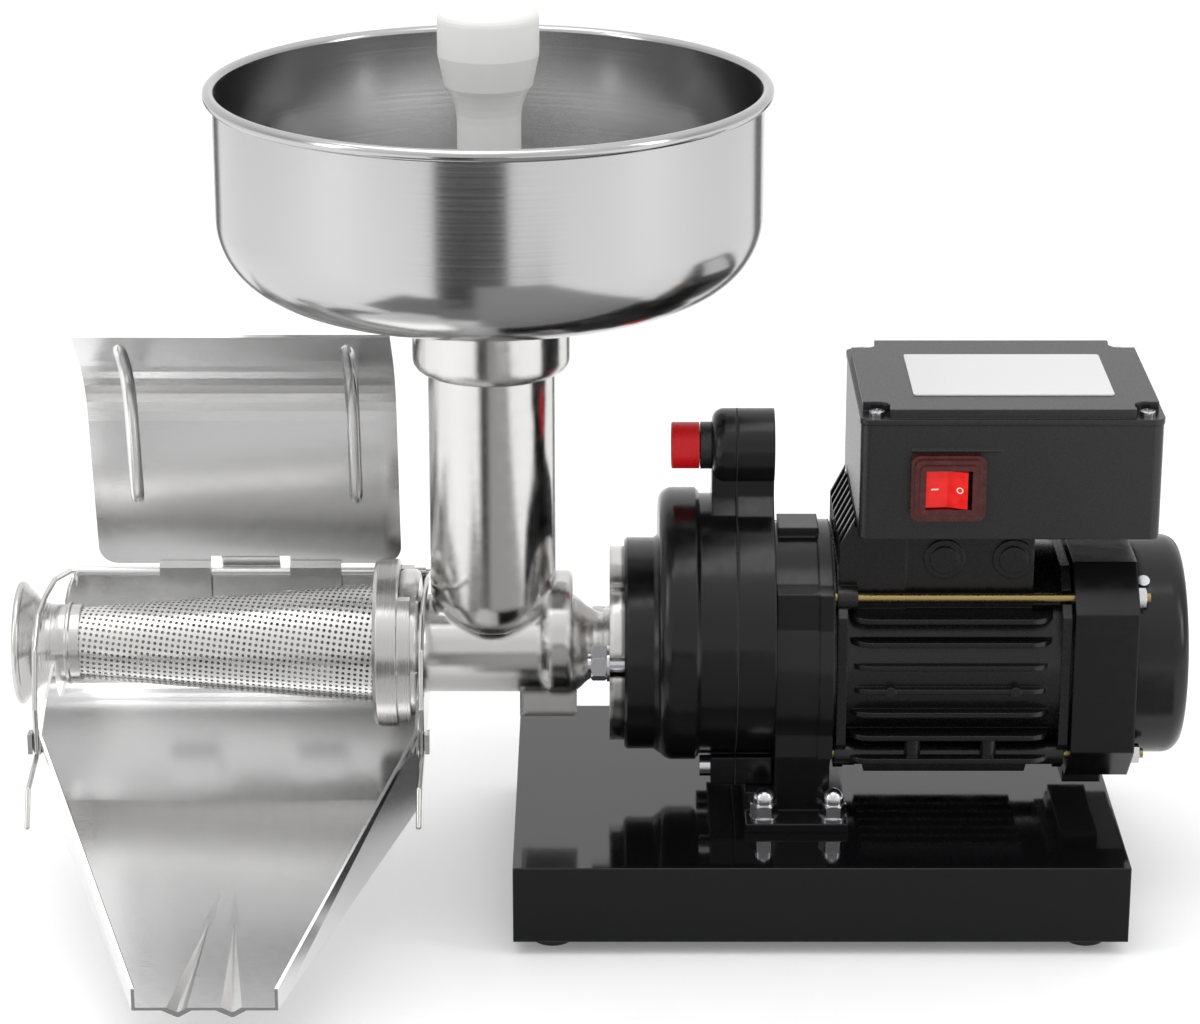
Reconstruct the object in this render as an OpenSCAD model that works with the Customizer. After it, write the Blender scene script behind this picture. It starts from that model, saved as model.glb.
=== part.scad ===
// Electric tomato strainer: a geared motor on a folded base drives a screw through a
// perforated cone, under a bowl-shaped hopper. X runs along the machine line, from the
// waste outlet on the left to the fan on the right. Y points to the back, Z up.
// Inside the modules X is measured from the face where the feed body meets the gearcase,
// and Y from the machine line.

/* [Machine line] */
// Height of the machine line above the surface the feet stand on
axis_z = 103.5; // [103:0.5:108]
// Running gap between a turning or sliding piece and its seat
run_gap = 0.3; // [0.2:0.05:0.4]
// Radial clearance of a shaft in its bush or of a pin in its hole
fit_gap = 0.05; // [0.02:0.01:0.08]

/* [Base] */
// Length of the folded base
base_len = 252; // [240:1:275]
// Depth of the folded base from front to back
base_depth = 175; // [160:1:195]
// Height of the base's top face above the surface
base_top = 39; // [36:0.5:41]
// Sheet thickness of the base
base_sheet = 1.5; // [1.2:0.1:2]
// How far the base reaches to the left of the mating face
base_left = 45.8; // [38:0.1:55]
// Width of the lip that is folded in under the front and back walls
base_lip = 30; // [28:1:36]
// Height of a rubber foot
foot_h = 6; // [5:0.5:8]
// Radius of a rubber foot
foot_r = 9.2; // [8:0.1:11]
// Distance of a foot's centre from the base's edges
foot_inset = 16; // [14:0.5:20]
// Radius of a foot screw
foot_screw_r = 2; // [1.5:0.1:2.5]

/* [Feed body] */
// Distance of the feed tube from the mating face
feed_x = 55; // [54:0.5:58]
// Outer radius of the feed tube
tube_r = 26.4; // [26:0.1:27]
// Bore radius of the feed tube
tube_bore = 23.2; // [22.5:0.1:23.5]
// Height of the feed tube's mouth above the machine line
tube_rise = 158.2; // [140:0.2:175]
// Outer radius of the barrel
barrel_r = 20.7; // [20.3:0.1:22]
// Bore radius of the barrel
barrel_bore = 18.6; // [18:0.1:18.8]
// Distance of the barrel's open end from the mating face
barrel_len = 94; // [92:0.5:98]
// Radius of the flange at the barrel's open end
end_flange_r = 31.2; // [30.6:0.1:32]
// Thickness of the flange at the barrel's open end
end_flange_t = 8; // [6:0.5:9]
// Radius of the spigot that carries the strainer
spigot_r = 29.7; // [29.2:0.1:30]
// Length of the spigot that carries the strainer
spigot_len = 6.4; // [5.5:0.1:6.6]
// Radius of a bayonet pin
pin_r = 1.8; // [1.5:0.1:2]
// Reach of a bayonet pin beyond the spigot
pin_reach = 2.6; // [2:0.1:3]
// Radius of the flange that meets the gearcase
mate_r = 41; // [40:0.5:43]
// Thickness of the flange that meets the gearcase
mate_t = 6.2; // [5:0.1:7.5]
// Outer radius of the waist behind the barrel
waist_r = 13; // [12:0.1:14]
// Radius of a flange stud
stud_r = 4; // [3.5:0.1:4.2]
// Radius of the circle on which the flange studs stand
stud_circle = 33; // [31:0.5:34]
// Height of the centre of the shoulder beside the waist above the machine line
shoulder_rise = 5.2; // [4.8:0.1:5.6]
// Angle of the front stud below the horizontal
stud_tilt = 6.3; // [0:0.1:15]
// Width across the flats of a flange nut
nut_af = 13; // [12.5:0.1:13.5]

/* [Hopper and pusher] */
// Inner radius of the hopper bowl at its rim
bowl_r = 110; // [95:0.5:125]
// Depth of the hopper bowl
bowl_depth = 83; // [70:0.5:100]
// Radius of the rounding between the bowl's wall and floor
bowl_corner = 29; // [20:1:36]
// Sheet thickness of the bowl
bowl_sheet = 1.2; // [0.9:0.1:1.6]
// Radius of the rolled bead on the bowl's rim
bead_r = 2.5; // [2:0.1:3]
// Outer radius of the collar below the bowl
collar_r = 32.7; // [31:0.1:36]
// Height of the collar below the bowl
collar_h = 36.5; // [28:0.5:42]
// Radius of the pusher's grip
grip_r = 20.5; // [17:0.5:22]
// Length of the pusher's straight grip
grip_len = 19; // [14:1:26]
// Radius of the pusher's stem
stem_r = 13; // [10:0.5:15]
// Height of the pusher's top above the bowl's rim
pusher_rise = 31; // [20:1:50]
// Play of the pusher's foot in the feed tube
pusher_play = 0.9; // [0.7:0.1:1.4]

/* [Strainer] */
// Outer radius of the cone at its wide end
cone_big_r = 25.5; // [25.2:0.1:26]
// Outer radius of the cone at its narrow end
cone_small_r = 14.6; // [14.2:0.1:15.2]
// Length of the cone outside its ring
cone_len = 129; // [122:0.5:132]
// Sheet thickness of the cone
cone_sheet = 0.8; // [0.6:0.1:1]
// Half width of a strainer hole
hole_r = 1.2; // [0.9:0.1:1.4]
// Rings of holes along the cone
hole_rings = 9; // [6:1:12]
// Holes in each ring
hole_count = 12; // [8:2:16]
// Outer radius of the bayonet ring
ring_r = 35.5; // [35:0.1:37]
// Width of the bayonet ring
ring_w = 10.6; // [10.4:0.1:11.2]
// Angle through which the ring turns to lock
lock_turn = 24; // [18:1:30]
// Radius of the waste outlet at its rim
outlet_r = 25.9; // [24:0.1:27]
// Length of the waste outlet
outlet_len = 21.8; // [20:0.1:24]
// Radius of the waste outlet's neck
outlet_neck_r = 16.3; // [16:0.1:17]

/* [Auger] */
// Radius of the auger's screw in the barrel
screw_r = 17.9; // [17:0.1:18]
// Gap between the auger's screw and the cone
screw_gap = 0.7; // [0.6:0.1:1]
// Radius of the auger's core
core_r = 8.5; // [7.5:0.1:9]
// Thickness of the auger's flight
flight_t = 4; // [3:0.5:5]
// Turns of the auger's flight in the cone
cone_turns = 3.5; // [2.5:0.5:4.5]
// Turns of the auger's flight in the barrel
barrel_turns = 1.5; // [1:0.5:2]
// Radius of the auger's journal in the waist
journal_r = 7; // [6.5:0.1:7.2]
// Side of the square drive between the output shaft and the auger
drive_side = 9.6; // [9:0.1:9.8]

/* [Tray and cover] */
// Sheet thickness of the tray and the cover
tray_sheet = 1.2; // [1:0.1:1.5]
// Inner width of the tray
tray_w = 152.1; // [150:0.1:155]
// Distance of the tray's right wall from the mating face
tray_right = 85.9; // [85.4:0.1:86.2]
// Distance of the tray's back wall behind the machine line
tray_back = 54; // [50:0.5:60]
// Height of the tray's rolled back edge above the machine line
hem_rise = 12.5; // [10:0.5:16]
// Reach of the spout in front of the machine line
tray_reach = 185; // [170:1:200]
// Height of the spout above the surface
spout_z = 24; // [20:0.5:30]
// Width of the spout
spout_w = 54; // [46:1:64]
// Height of the tray's side wall at the spout
spout_wall = 8; // [5:0.5:12]
// Distance of the bend between trough and apron in front of the machine line
bend_y = 42; // [36:1:48]
// Depth of that bend below the machine line
bend_drop = 54; // [50:0.5:58]
// Distance of the front hooks in front of the machine line
hook_y = 66; // [62:0.5:70]
// Depth of the front hooks below the machine line
hook_drop = 14.5; // [12:0.5:18]
// Radius of the bail's wire
wire_r = 1.1; // [0.9:0.1:1.3]
// Width of the splash cover
cover_w = 131; // [120:1:136]
// Length of the cover's straight lower part
cover_flat = 72; // [60:1:80]
// Lean of the cover's lower part
cover_lean = 13; // [8:0.5:16]
// Radius of the cover's bend
cover_bend = 60; // [50:1:80]
// Angle of the cover's bend
cover_turn = 38; // [25:1:48]
// Length of the cover's upper lip
cover_lip = 26; // [16:1:34]

/* [Gearcase] */
// Radius of the round boss that carries the feed body
boss_r = 44.7; // [44:0.1:47]
// Length of that boss
boss_len = 14.2; // [13.5:0.1:15]
// Radius of the gearcase's front drum
drum_r = 57.5; // [57:0.5:60]
// Height of the drum's centre above the machine line
drum_rise = 9; // [8:0.5:10]
// End of the front drum, from the mating face
drum_end = 31; // [29:0.5:33]
// Radius of the gearcase's rear part
case_r = 55; // [55:0.5:56.5]
// Start of the filler lobe and the lower lug, from the mating face
lobe_x = 36.2; // [36:0.1:38]
// Place of the joint between the gearcase halves, from the mating face
case_split = 46.2; // [46:0.1:46.4]
// End of the gearcase, from the mating face
case_end = 62; // [61.8:0.1:63]
// Wall thickness of the gearcase
case_wall = 3; // [2.5:0.1:3.4]
// Thickness of the gasket between the halves
gasket_t = 0.5; // [0.3:0.1:0.6]
// Radius of the filler lobe on top of the gearcase
lobe_r = 15.5; // [14.5:0.5:17]
// Height of the filler lobe's centre above the machine line
lobe_rise = 88; // [86:0.5:92]
// Radius of the oil cap
cap_r = 9.7; // [9:0.1:11]
// Length of the oil cap
cap_len = 11.9; // [10:0.1:14]

/* [Gears] */
// Module of all gears
gear_module = 1; // [0.96:0.01:1]
// Teeth of the motor's pinion
teeth_1 = 12; // [12:1:12]
// Teeth of the layshaft's gear
teeth_2 = 48; // [48:1:48]
// Teeth of the layshaft's pinion
teeth_3 = 14; // [14:1:14]
// Teeth of the output gear
teeth_4 = 46; // [46:1:46]
// Face width of the motor's pinion and the layshaft's gear
face_fast = 7; // [6:0.5:7]
// Face width of the layshaft's pinion and the output gear
face_slow = 14; // [12:0.5:14]
// Play between meshing teeth, measured on the pitch circle
backlash = 0.24; // [0.18:0.02:0.3]

/* [Motor] */
// Radius of the adapter between gearcase and motor
adapter_r = 51.5; // [51:0.5:53]
// Length of the adapter
adapter_len = 24; // [23:0.5:26]
// Length of the motor housing
motor_len = 98.5; // [94:0.5:104]
// Half width of the front end shield's block
block_half = 46; // [45:0.5:47]
// Height of that block's top above the machine line
block_rise = 38.8; // [38.2:0.1:40]
// Half width of the octagonal end shields
shield_half = 47.5; // [47:0.5:50]
// Corner cut of the octagonal end shields
shield_cut = 17; // [15:0.5:18]
// Length of the rear end shield
shield_len = 26.3; // [25:0.1:29]
// Radius of the fan cowl
cowl_r = 46; // [45:0.5:46.5]
// Length of the fan cowl
cowl_len = 24.5; // [23:0.5:28]
// Distance from one cooling fin to the next
fin_pitch = 10.3; // [9.5:0.1:10.5]
// Thickness of a cooling fin
fin_t = 2.2; // [1.8:0.1:2.8]
// Radius of the motor shaft at its bearings
shaft_r = 7.5; // [7.2:0.1:7.6]
// Outer radius of the motor's bearings
bearing_r = 17.5; // [16.5:0.1:18]
// Width of the motor's bearings
bearing_w = 11; // [10:0.5:11]
// Outer radius of the rotor
rotor_r = 24; // [22:0.5:26]
// Length of the rotor and the stator core
core_len = 50; // [40:1:56]
// Air gap between rotor and stator
air_gap = 0.4; // [0.3:0.1:0.6]
// Outer radius of the stator core
stator_r = 41; // [40:0.5:41.5]
// Radius of a tie rod
rod_r = 2; // [1.8:0.1:2.4]
// Distance of the tie rods from the machine line, in depth
rod_y = 38; // [37.5:0.1:38.5]
// Distance of the tie rods from the machine line, in height
rod_z = 34.5; // [34:0.1:35]
// Width of the motor's foot along the machine
foot_plate_w = 42.4; // [40:0.2:45]
// Depth of the motor's foot from front to back
foot_plate_d = 104.6; // [100:0.2:112]
// Thickness of the motor's foot
foot_plate_t = 4; // [3:0.5:5]
// Radius of a mounting bolt
mount_bolt_r = 3; // [2.5:0.1:3.2]

/* [Terminal box] */
// Length of the terminal box
box_len = 121.9; // [118:0.1:126]
// Depth of the terminal box
box_depth = 99; // [94:1:104]
// Height of the terminal box without its lid
box_h = 48.5; // [46:0.5:54]
// Distance of the terminal box from the mating face
box_x = 94.7; // [93.5:0.1:96]
// Height of the terminal box's floor above the machine line
box_rise = 64.1; // [62:0.1:66]
// Wall thickness of the terminal box
box_wall = 2.5; // [2:0.1:3]
// Height of the terminal box's lid
lid_h = 6.3; // [5.5:0.1:7]
// Width of the switch's sealing frame
switch_w = 30.3; // [28:0.1:32]
// Height of the switch's sealing frame
switch_h = 27.7; // [26:0.1:29]
// Width of the switch's rocker
rocker_w = 17.4; // [16.5:0.1:18]
// Height of the switch's rocker
rocker_h = 15.4; // [14.5:0.1:16]
// Throw of the rocker
rocker_throw = 16; // [12:1:18]

// Length of the rating plate on the lid
plate_len = 81.6; // [70:0.2:84]
// Depth of the rating plate on the lid
plate_depth = 56.2; // [48:0.2:60]
// Thickness of the rating plate
plate_t = 0.5; // [0.3:0.1:0.8]

/* [Hidden] */
$fn = 64;

// Places along the machine line that several pieces share
spigot_end = barrel_len + spigot_len;
ring_x = barrel_len + run_gap;
web_t = 3;
ring_end = ring_x + ring_w;
cone_end = ring_end + cone_len;
outlet_seat = 5;
outlet_end = cone_end + outlet_len;
motor_x = case_end + adapter_len;
shield_x = motor_x + motor_len;
cowl_x = shield_x + shield_len;
cowl_end = cowl_x + cowl_len;

// The model's own origin is below the middle of the whole machine
shift_x = (outlet_end - cowl_end) / 2;
rim_r = bowl_r + bowl_sheet + 2 * bead_r - bowl_sheet;
shift_y = (tray_reach - rim_r) / 2;

// Heights that several pieces share
tube_top = axis_z + tube_rise;
bowl_floor = tube_top + run_gap;
bowl_top = bowl_floor + bowl_depth;
case_z = axis_z + drum_rise;
lobe_z = axis_z + lobe_rise;
box_z = axis_z + box_rise;
box_top = box_z + box_h;

// Gear train: a motor pinion drives the layshaft above it, which drives the output gear
gear_distance = gear_module * (teeth_1 + teeth_2) / 2;
lay_z = axis_z + gear_distance;
pressure = 20;
pinion_shift = 0.3;
hub_end = 27.5;
slow_x = 28.5;
fast_x = case_split + 1.3;
lay_r = 6;
bush_r = 8;

module placed() translate([shift_x, shift_y, 0]) children();

// Turns a profile or solid so that its own Z runs along the machine line
module on_axis(x = 0, z = axis_z) translate([x, 0, z]) rotate([90, 0, 90]) children();

module bar_x(x0, x1, r, y = 0, z = axis_z)
    translate([0, y, 0]) on_axis(x0, z) cylinder(h = x1 - x0, r = r);

module ring_bar(x0, x1, r_out, r_in, y = 0, z = axis_z)
    difference() {
        bar_x(x0, x1, r_out, y, z);
        bar_x(x0 - 1, x1 + 1, r_in, y, z);
    }

// A plate across the machine line, drawn in Y and Z
module plate_x(x0, x1) translate([x0, 0, 0]) rotate([90, 0, 90]) linear_extrude(x1 - x0) children();

// A plate along the machine line, drawn in X and Z
module plate_y(y0, y1) translate([0, y1, 0]) rotate([90, 0, 0]) linear_extrude(y1 - y0) children();

function arc(cx, cy, r, a0, a1, n = 8) =
    [for (i = [0:n]) let (a = a0 + (a1 - a0) * i / n) [cx + r * cos(a), cy + r * sin(a)]];

module rounded_square(w, h, r) {
    square([w - 2 * r, h], center = true);
    square([w, h - 2 * r], center = true);
    for (sx = [-1, 1], sy = [-1, 1])
        translate([sx * (w / 2 - r), sy * (h / 2 - r)]) circle(r);
}

// Base and its fasteners

module base_corners() {
    for (fx = [foot_inset, base_len - foot_inset], sy = [-1, 1])
        translate([fx - base_left, sy * (base_depth / 2 - foot_inset), 0]) children();
}

mount_x = [case_end - 3.9, case_end + 24.8];
mount_y = foot_plate_d / 2 - 7.5;

module mount_points() for (mx = mount_x, sy = [-1, 1]) translate([mx, sy * mount_y, 0]) children();

module base_box() color([0.05, 0.05, 0.055]) difference() {
    union() {
        difference() {
            translate([-base_left, -base_depth / 2, foot_h])
                cube([base_len, base_depth, base_top - foot_h]);
            translate([-base_left + base_sheet, -base_depth / 2 + base_sheet, foot_h - 1])
                cube([base_len - 2 * base_sheet, base_depth - 2 * base_sheet, base_top - foot_h - base_sheet + 1]);
        }
        for (sy = [-1, 1])
            translate([-base_left + base_sheet, sy * (base_depth / 2 - base_lip / 2) - base_lip / 2, foot_h])
                cube([base_len - 2 * base_sheet, base_lip, base_sheet]);
    }
    base_corners() cylinder(h = base_top - foot_h, r = foot_screw_r + fit_gap);
    mount_points() translate([0, 0, base_top - 5]) cylinder(h = 10, r = mount_bolt_r + fit_gap);
}

module rubber_feet() color([0.03, 0.03, 0.03]) base_corners() rotate_extrude() polygon([
    [foot_screw_r + fit_gap, foot_h], [foot_screw_r + fit_gap, 3.2], [4.6, 3.2], [4.6, 0],
    each arc(foot_r - 2.5, 2.5, 2.5, -90, 0, 5), [foot_r, foot_h]
]);

module foot_screws() color([0.75, 0.75, 0.76]) base_corners() {
    cylinder(h = foot_h + base_sheet + 6, r = foot_screw_r);
    translate([0, 0, 1]) difference() {
        cylinder(h = 2.2, r = 3.9);
        for (a = [0, 90]) rotate(a) translate([-0.4, -2.2, -1]) cube([0.8, 4.4, 2]);
    }
    translate([0, 0, foot_h + base_sheet]) difference() {
        cylinder(h = 3, r = 4, $fn = 6);
        cylinder(h = 8, r = foot_screw_r, center = true);
    }
    translate([0, 0, foot_h + base_sheet]) cylinder(h = 3, r = foot_screw_r);
}

bolt_top = base_top + foot_plate_t + 9.5;

module mount_bolts() color([0.7, 0.7, 0.72]) mount_points() {
    translate([0, 0, base_top - base_sheet - 4]) cylinder(h = 4, r = 5.6, $fn = 6);
    translate([0, 0, base_top - base_sheet - 1]) cylinder(h = bolt_top - base_top + base_sheet + 1, r = mount_bolt_r);
}

washer_t = 1.2;

module mount_washers() color([0.8, 0.8, 0.81]) mount_points()
    translate([0, 0, base_top + foot_plate_t]) difference() {
        cylinder(h = washer_t, r = 6);
        translate([0, 0, -1]) cylinder(h = 4, r = mount_bolt_r + fit_gap);
    }

module acorn_nuts() color([0.85, 0.85, 0.86]) mount_points()
    translate([0, 0, base_top + foot_plate_t + washer_t]) difference() {
        union() {
            intersection() {
                cylinder(h = 5.4, r = 5.7, $fn = 6);
                rotate_extrude() polygon([[0, 0], [5.2, 0], [5.8, 0.5], [5.8, 4.6], [5, 5.4], [0, 5.4]]);
            }
            rotate_extrude() polygon([[0, 5.3], [4.4, 5.3], [4.4, 7.2], each arc(0, 7.2, 4.4, 0, 90, 8)]);
        }
        translate([0, 0, -1]) cylinder(h = bolt_top - base_top - foot_plate_t - washer_t + 1.4, r = mount_bolt_r + fit_gap);
    }

// Feed body

waist_x = 20.6;
bore_end = waist_x + 2.5;
shoulder_end = 21.6;
shoulder_w = 12.8;
throat_low = 10;
throat_top = 24;
bayonet_pins = 3;
pin_x = barrel_len + spigot_len / 2 + 0.4;

module stud_points(x)
    for (side = [0, 180])
        translate([x, 0, axis_z]) rotate([180 - stud_tilt - side, 0, 0]) translate([0, stud_circle, 0])
            rotate([0, 90, 0]) children();

module feed_body() color([0.72, 0.72, 0.73]) difference() {
    union() {
        bar_x(-barrel_len + 2, -shoulder_end, barrel_r);
        on_axis(-barrel_len) rotate_extrude() polygon([
            [0, 0], [end_flange_r - 0.8, 0], [end_flange_r, 0.8], [end_flange_r, end_flange_t - 1.5],
            [end_flange_r - 1.5, end_flange_t], [barrel_r + 2, end_flange_t], [barrel_r, end_flange_t + 3], [0, end_flange_t + 3]
        ]);
        bar_x(-spigot_end, -barrel_len + 1, spigot_r);
        for (i = [0:bayonet_pins - 1])
            translate([-pin_x, 0, axis_z]) rotate([i * 360 / bayonet_pins, 0, 0])
                cylinder(h = spigot_r + pin_reach, r = pin_r);
        translate([-feed_x, 0, axis_z + throat_top]) cylinder(h = tube_rise - throat_top, r = tube_r);
        translate([-feed_x, 0, axis_z + throat_low])
            cylinder(h = throat_top - throat_low + 0.1, r1 = sqrt(pow(barrel_r, 2) - pow(throat_low, 2)), r2 = tube_r);
        on_axis(-shoulder_end - shoulder_w, axis_z + shoulder_rise) rotate_extrude() polygon([
            [0, 0], [tube_r - 3, 0], [tube_r - 0.6, 3], [tube_r - 0.4, shoulder_w - 2.6],
            each arc(tube_r - 3, shoulder_w - 2.6, 2.6, 0, 90, 4), [0, shoulder_w]
        ]);
        on_axis(-shoulder_end - 1) rotate_extrude() polygon([
            [0, 0], [barrel_r, 0], [barrel_r - 0.2, 1.8], [barrel_r - 2.2, 4.4], [barrel_r - 4.4, 6.6],
            each arc(waist_r + 6, 13.2, 6, 225, 180, 4), [waist_r, 16.4], [0, 16.4]
        ]);
        bar_x(-waist_x + 4, -mate_t + 1, waist_r);
        ring_bar(-mate_t - 2.6, -mate_t + 1, waist_r + 1.6, waist_r - 1);
        ring_bar(-mate_t, 0, mate_r, waist_r - 2);
        translate([-feed_x + 11, -11, axis_z - 29]) cube([24, 22, 16]);
    }
    bar_x(-spigot_end - 1, -bore_end, barrel_bore);
    on_axis(-spigot_end - 0.01) cylinder(h = spigot_len + 6, r1 = cone_big_r - cone_sheet - 0.2, r2 = barrel_bore);
    bar_x(-bore_end - 1, 1, bush_out);
    bar_x(-mate_t + 1, 1, 12);
    translate([-feed_x, 0, axis_z + throat_top]) cylinder(h = tube_rise, r = tube_bore);
    translate([-feed_x, 0, axis_z + throat_low - 2])
        cylinder(h = throat_top - throat_low + 2.01, r1 = barrel_bore - 1, r2 = tube_bore);
    for (side = [0, 180])
        translate([-mate_t - 1, 0, axis_z]) rotate([180 - stud_tilt - side, 0, 0]) {
            translate([0, stud_circle, 0]) rotate([0, 90, 0]) cylinder(h = mate_t + 2, r = stud_r + 0.4);
            translate([0, stud_circle, -stud_r - 0.4]) cube([mate_t + 2, mate_r, 2 * stud_r + 0.8]);
        }
    translate([-mate_t - 1, 0, axis_z]) rotate([126, 0, 0]) translate([0, mate_r - 4, -1.7]) cube([mate_t + 2, 6, 3.4]);
}

bush_out = journal_r + 2.4;

module auger_bush() color([0.92, 0.91, 0.88])
    ring_bar(-waist_x - 1.5, -mate_t + 1, bush_out - fit_gap, journal_r + fit_gap);

stud_depth = 11;
nut_t = 6.5;
nut_x = mate_t + washer_t;

module flange_studs() color([0.7, 0.7, 0.71]) stud_points(-nut_x - nut_t - 1.4)
    cylinder(h = nut_x + nut_t + 1.4 + stud_depth, r = stud_r);

module flange_washers() color([0.8, 0.8, 0.81]) stud_points(-nut_x) difference() {
    cylinder(h = washer_t, r = 7.6);
    translate([0, 0, -1]) cylinder(h = washer_t + 2, r = stud_r + fit_gap);
}

module flange_nuts() color([0.82, 0.82, 0.83]) stud_points(-nut_x - nut_t) difference() {
    intersection() {
        cylinder(h = nut_t, r = nut_af / 2 / cos(30), $fn = 6);
        rotate_extrude() polygon([
            [0, 0], [nut_af / 2, 0], [nut_af / 2 + 1, 0.8], [nut_af / 2 + 1, nut_t - 0.8],
            [nut_af / 2, nut_t], [0, nut_t]
        ]);
    }
    translate([0, 0, -1]) cylinder(h = nut_t + 2, r = stud_r + fit_gap);
}

// Hopper and pusher

module hopper_bowl() color([0.78, 0.78, 0.79]) translate([-feed_x, 0, bowl_floor]) rotate_extrude($fn = 128) {
    polygon([
        [tube_bore, 0],
        each arc(bowl_r - bowl_corner, bowl_corner + bowl_sheet, bowl_corner + bowl_sheet, -90, 0, 12),
        [bowl_r + bowl_sheet, bowl_depth - bead_r], [bowl_r, bowl_depth - bead_r],
        each arc(bowl_r - bowl_corner, bowl_corner + bowl_sheet, bowl_corner, 0, -90, 12), [tube_bore, bowl_sheet]
    ]);
    translate([bowl_r + bead_r, bowl_depth - bead_r]) difference() {
        circle(bead_r, $fn = 24);
        circle(bead_r - 0.9, $fn = 24);
    }
}

module hopper_collar() color([0.75, 0.75, 0.76]) translate([-feed_x, 0, bowl_floor]) rotate_extrude() polygon([
    [tube_r + run_gap, -collar_h], each arc(collar_r - 5, -collar_h + 5, 5, -90, 0, 6),
    [collar_r, 0], [collar_r - 1.5, 0],
    each arc(collar_r - 5, -collar_h + 5, 3.5, 0, -90, 5),
    [tube_r + run_gap + 1.5, -collar_h + 1.5], [tube_r + run_gap + 1.5, -6], [tube_r + run_gap, -6]
]);

pusher_foot_z = axis_z + screw_r + run_gap + 0.2;
foot_edge = tube_bore - pusher_play;

module pusher() color([0.95, 0.95, 0.95]) translate([-feed_x, 0, 0]) rotate_extrude($fn = 96) {
    top = bowl_top + pusher_rise;
    polygon([
        [0, pusher_foot_z], [foot_edge * 0.6, pusher_foot_z + 2], [foot_edge, pusher_foot_z + 7],
        [foot_edge, pusher_foot_z + 11], [foot_edge - 2, pusher_foot_z + 13],
        [stem_r, pusher_foot_z + 24], [stem_r, top - grip_len - 27],
        each arc(stem_r + 24, top - grip_len - 27, 24, 180, 143, 5),
        [grip_r, top - grip_len], [grip_r, top - 5], each arc(grip_r - 5, top - 5, 5, 0, 90, 6), [0, top]
    ]);
}

// Strainer

module cone_line(grow, x0, x1) {
    slope = (cone_big_r - cone_small_r) / (cone_len + web_t);
    wide = cone_big_r + grow;
    on_axis(-x1) cylinder(
        h = x1 - x0,
        r1 = wide - slope * (x1 - ring_end + web_t),
        r2 = wide - slope * (x0 - ring_end + web_t)
    );
}

lip_x = ring_end - web_t;

module strainer_cone() color([0.7, 0.7, 0.71]) difference() {
    union() {
        cone_line(0, lip_x, cone_end);
        bar_x(-lip_x, -lip_x + 0.8, spigot_r - 0.1);
    }
    cone_line(-cone_sheet, lip_x - 2, cone_end + 1);
    for (i = [0:hole_rings - 1], j = [0:hole_count / 2 - 1])
        translate([-ring_end - 7 - i * (cone_len - 14) / (hole_rings - 1), 0, axis_z])
            rotate([(j + (i % 2) / 2) * 360 / hole_count, 0, 0])
                cube([2 * hole_r, 2 * hole_r, 2 * cone_big_r + 2], center = true);
}

groove_r = spigot_r + pin_reach + 0.5;
ramps = 2;

module bayonet_places(count) for (i = [0:count - 1])
    translate([0, 0, axis_z]) rotate([i * 360 / count, 0, 0]) translate([0, 0, -axis_z]) children();

slot_half = pin_r + run_gap;

// One bayonet groove: a way in from the open face and a slot round the bore
module bayonet_groove() {
    translate([-pin_x, 0, axis_z]) cylinder(h = groove_r, r = slot_half);
    on_axis(-pin_x - slot_half) rotate(90 - lock_turn) {
        rotate_extrude(angle = lock_turn)
            translate([spigot_r - 1, 0]) square([groove_r - spigot_r + 1, 2 * slot_half]);
        translate([0, -slot_half, 0]) cube([groove_r, 2 * slot_half, 14]);
    }
}

module strainer_ring() color([0.76, 0.76, 0.77]) difference() {
    union() {
        on_axis(-ring_end) rotate_extrude() polygon([
            [0, 0], [ring_r - 1.6, 0], [ring_r, 1.6], [ring_r, ring_w - 0.8], [ring_r - 0.8, ring_w], [0, ring_w]
        ]);
        bayonet_places(ramps) intersection() {
            ring_bar(-ring_x - 0.5, -ring_x + 5, ring_r - 0.6, end_flange_r + run_gap + 0.2);
            translate([-ring_x - 14, 3, axis_z - 27]) rotate([0, 0, -24]) cube([20, 50, 54]);
        }
    }
    on_axis(-lip_x) cylinder(h = ring_w, r = spigot_r + run_gap);
    cone_line(0.1, ring_x, ring_end + 1);
    bar_x(-ring_x - 0.1, -ring_x + 6, end_flange_r + run_gap + 0.1);
    bayonet_places(bayonet_pins) bayonet_groove();
}

module waste_outlet() color([0.76, 0.76, 0.77]) difference() {
    on_axis(-outlet_end) rotate_extrude() {
        translate([outlet_r - 1.6, 1.6]) circle(1.6, $fn = 32);
        polygon([
            [outlet_r - 3.2, 1.6], [outlet_r - 1.6, 0.4], [outlet_r - 0.6, 2.4],
            each arc(outlet_r + 1.4, outlet_len - 6, outlet_r - outlet_neck_r + 1.4, 233, 180, 7),
            [outlet_neck_r, outlet_len - 1], [outlet_neck_r + 1, outlet_len - 0.5], [outlet_neck_r + 1, outlet_len + 0.5],
            [outlet_neck_r, outlet_len + 1], [outlet_neck_r, outlet_len + outlet_seat], [10, outlet_len + outlet_seat], [10, 6]
        ]);
    }
    cone_line(0.1, ring_end, cone_end);
    on_axis(-outlet_end - 0.1) rotate_extrude() polygon([
        [0, 0], [outlet_r - 2.2, 0], [outlet_r - 2.4, 2.4],
        each arc(outlet_r + 1.4, outlet_len - 6, outlet_r - outlet_neck_r + 3.4, 230, 182, 7),
        [outlet_neck_r - 2.4, outlet_len - 5.9], [outlet_neck_r - 2.6, outlet_len + 0.2], [0, outlet_len + 0.2]
    ]);
}

// Auger: a core with a flight whose radius follows the barrel and then the cone

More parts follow.
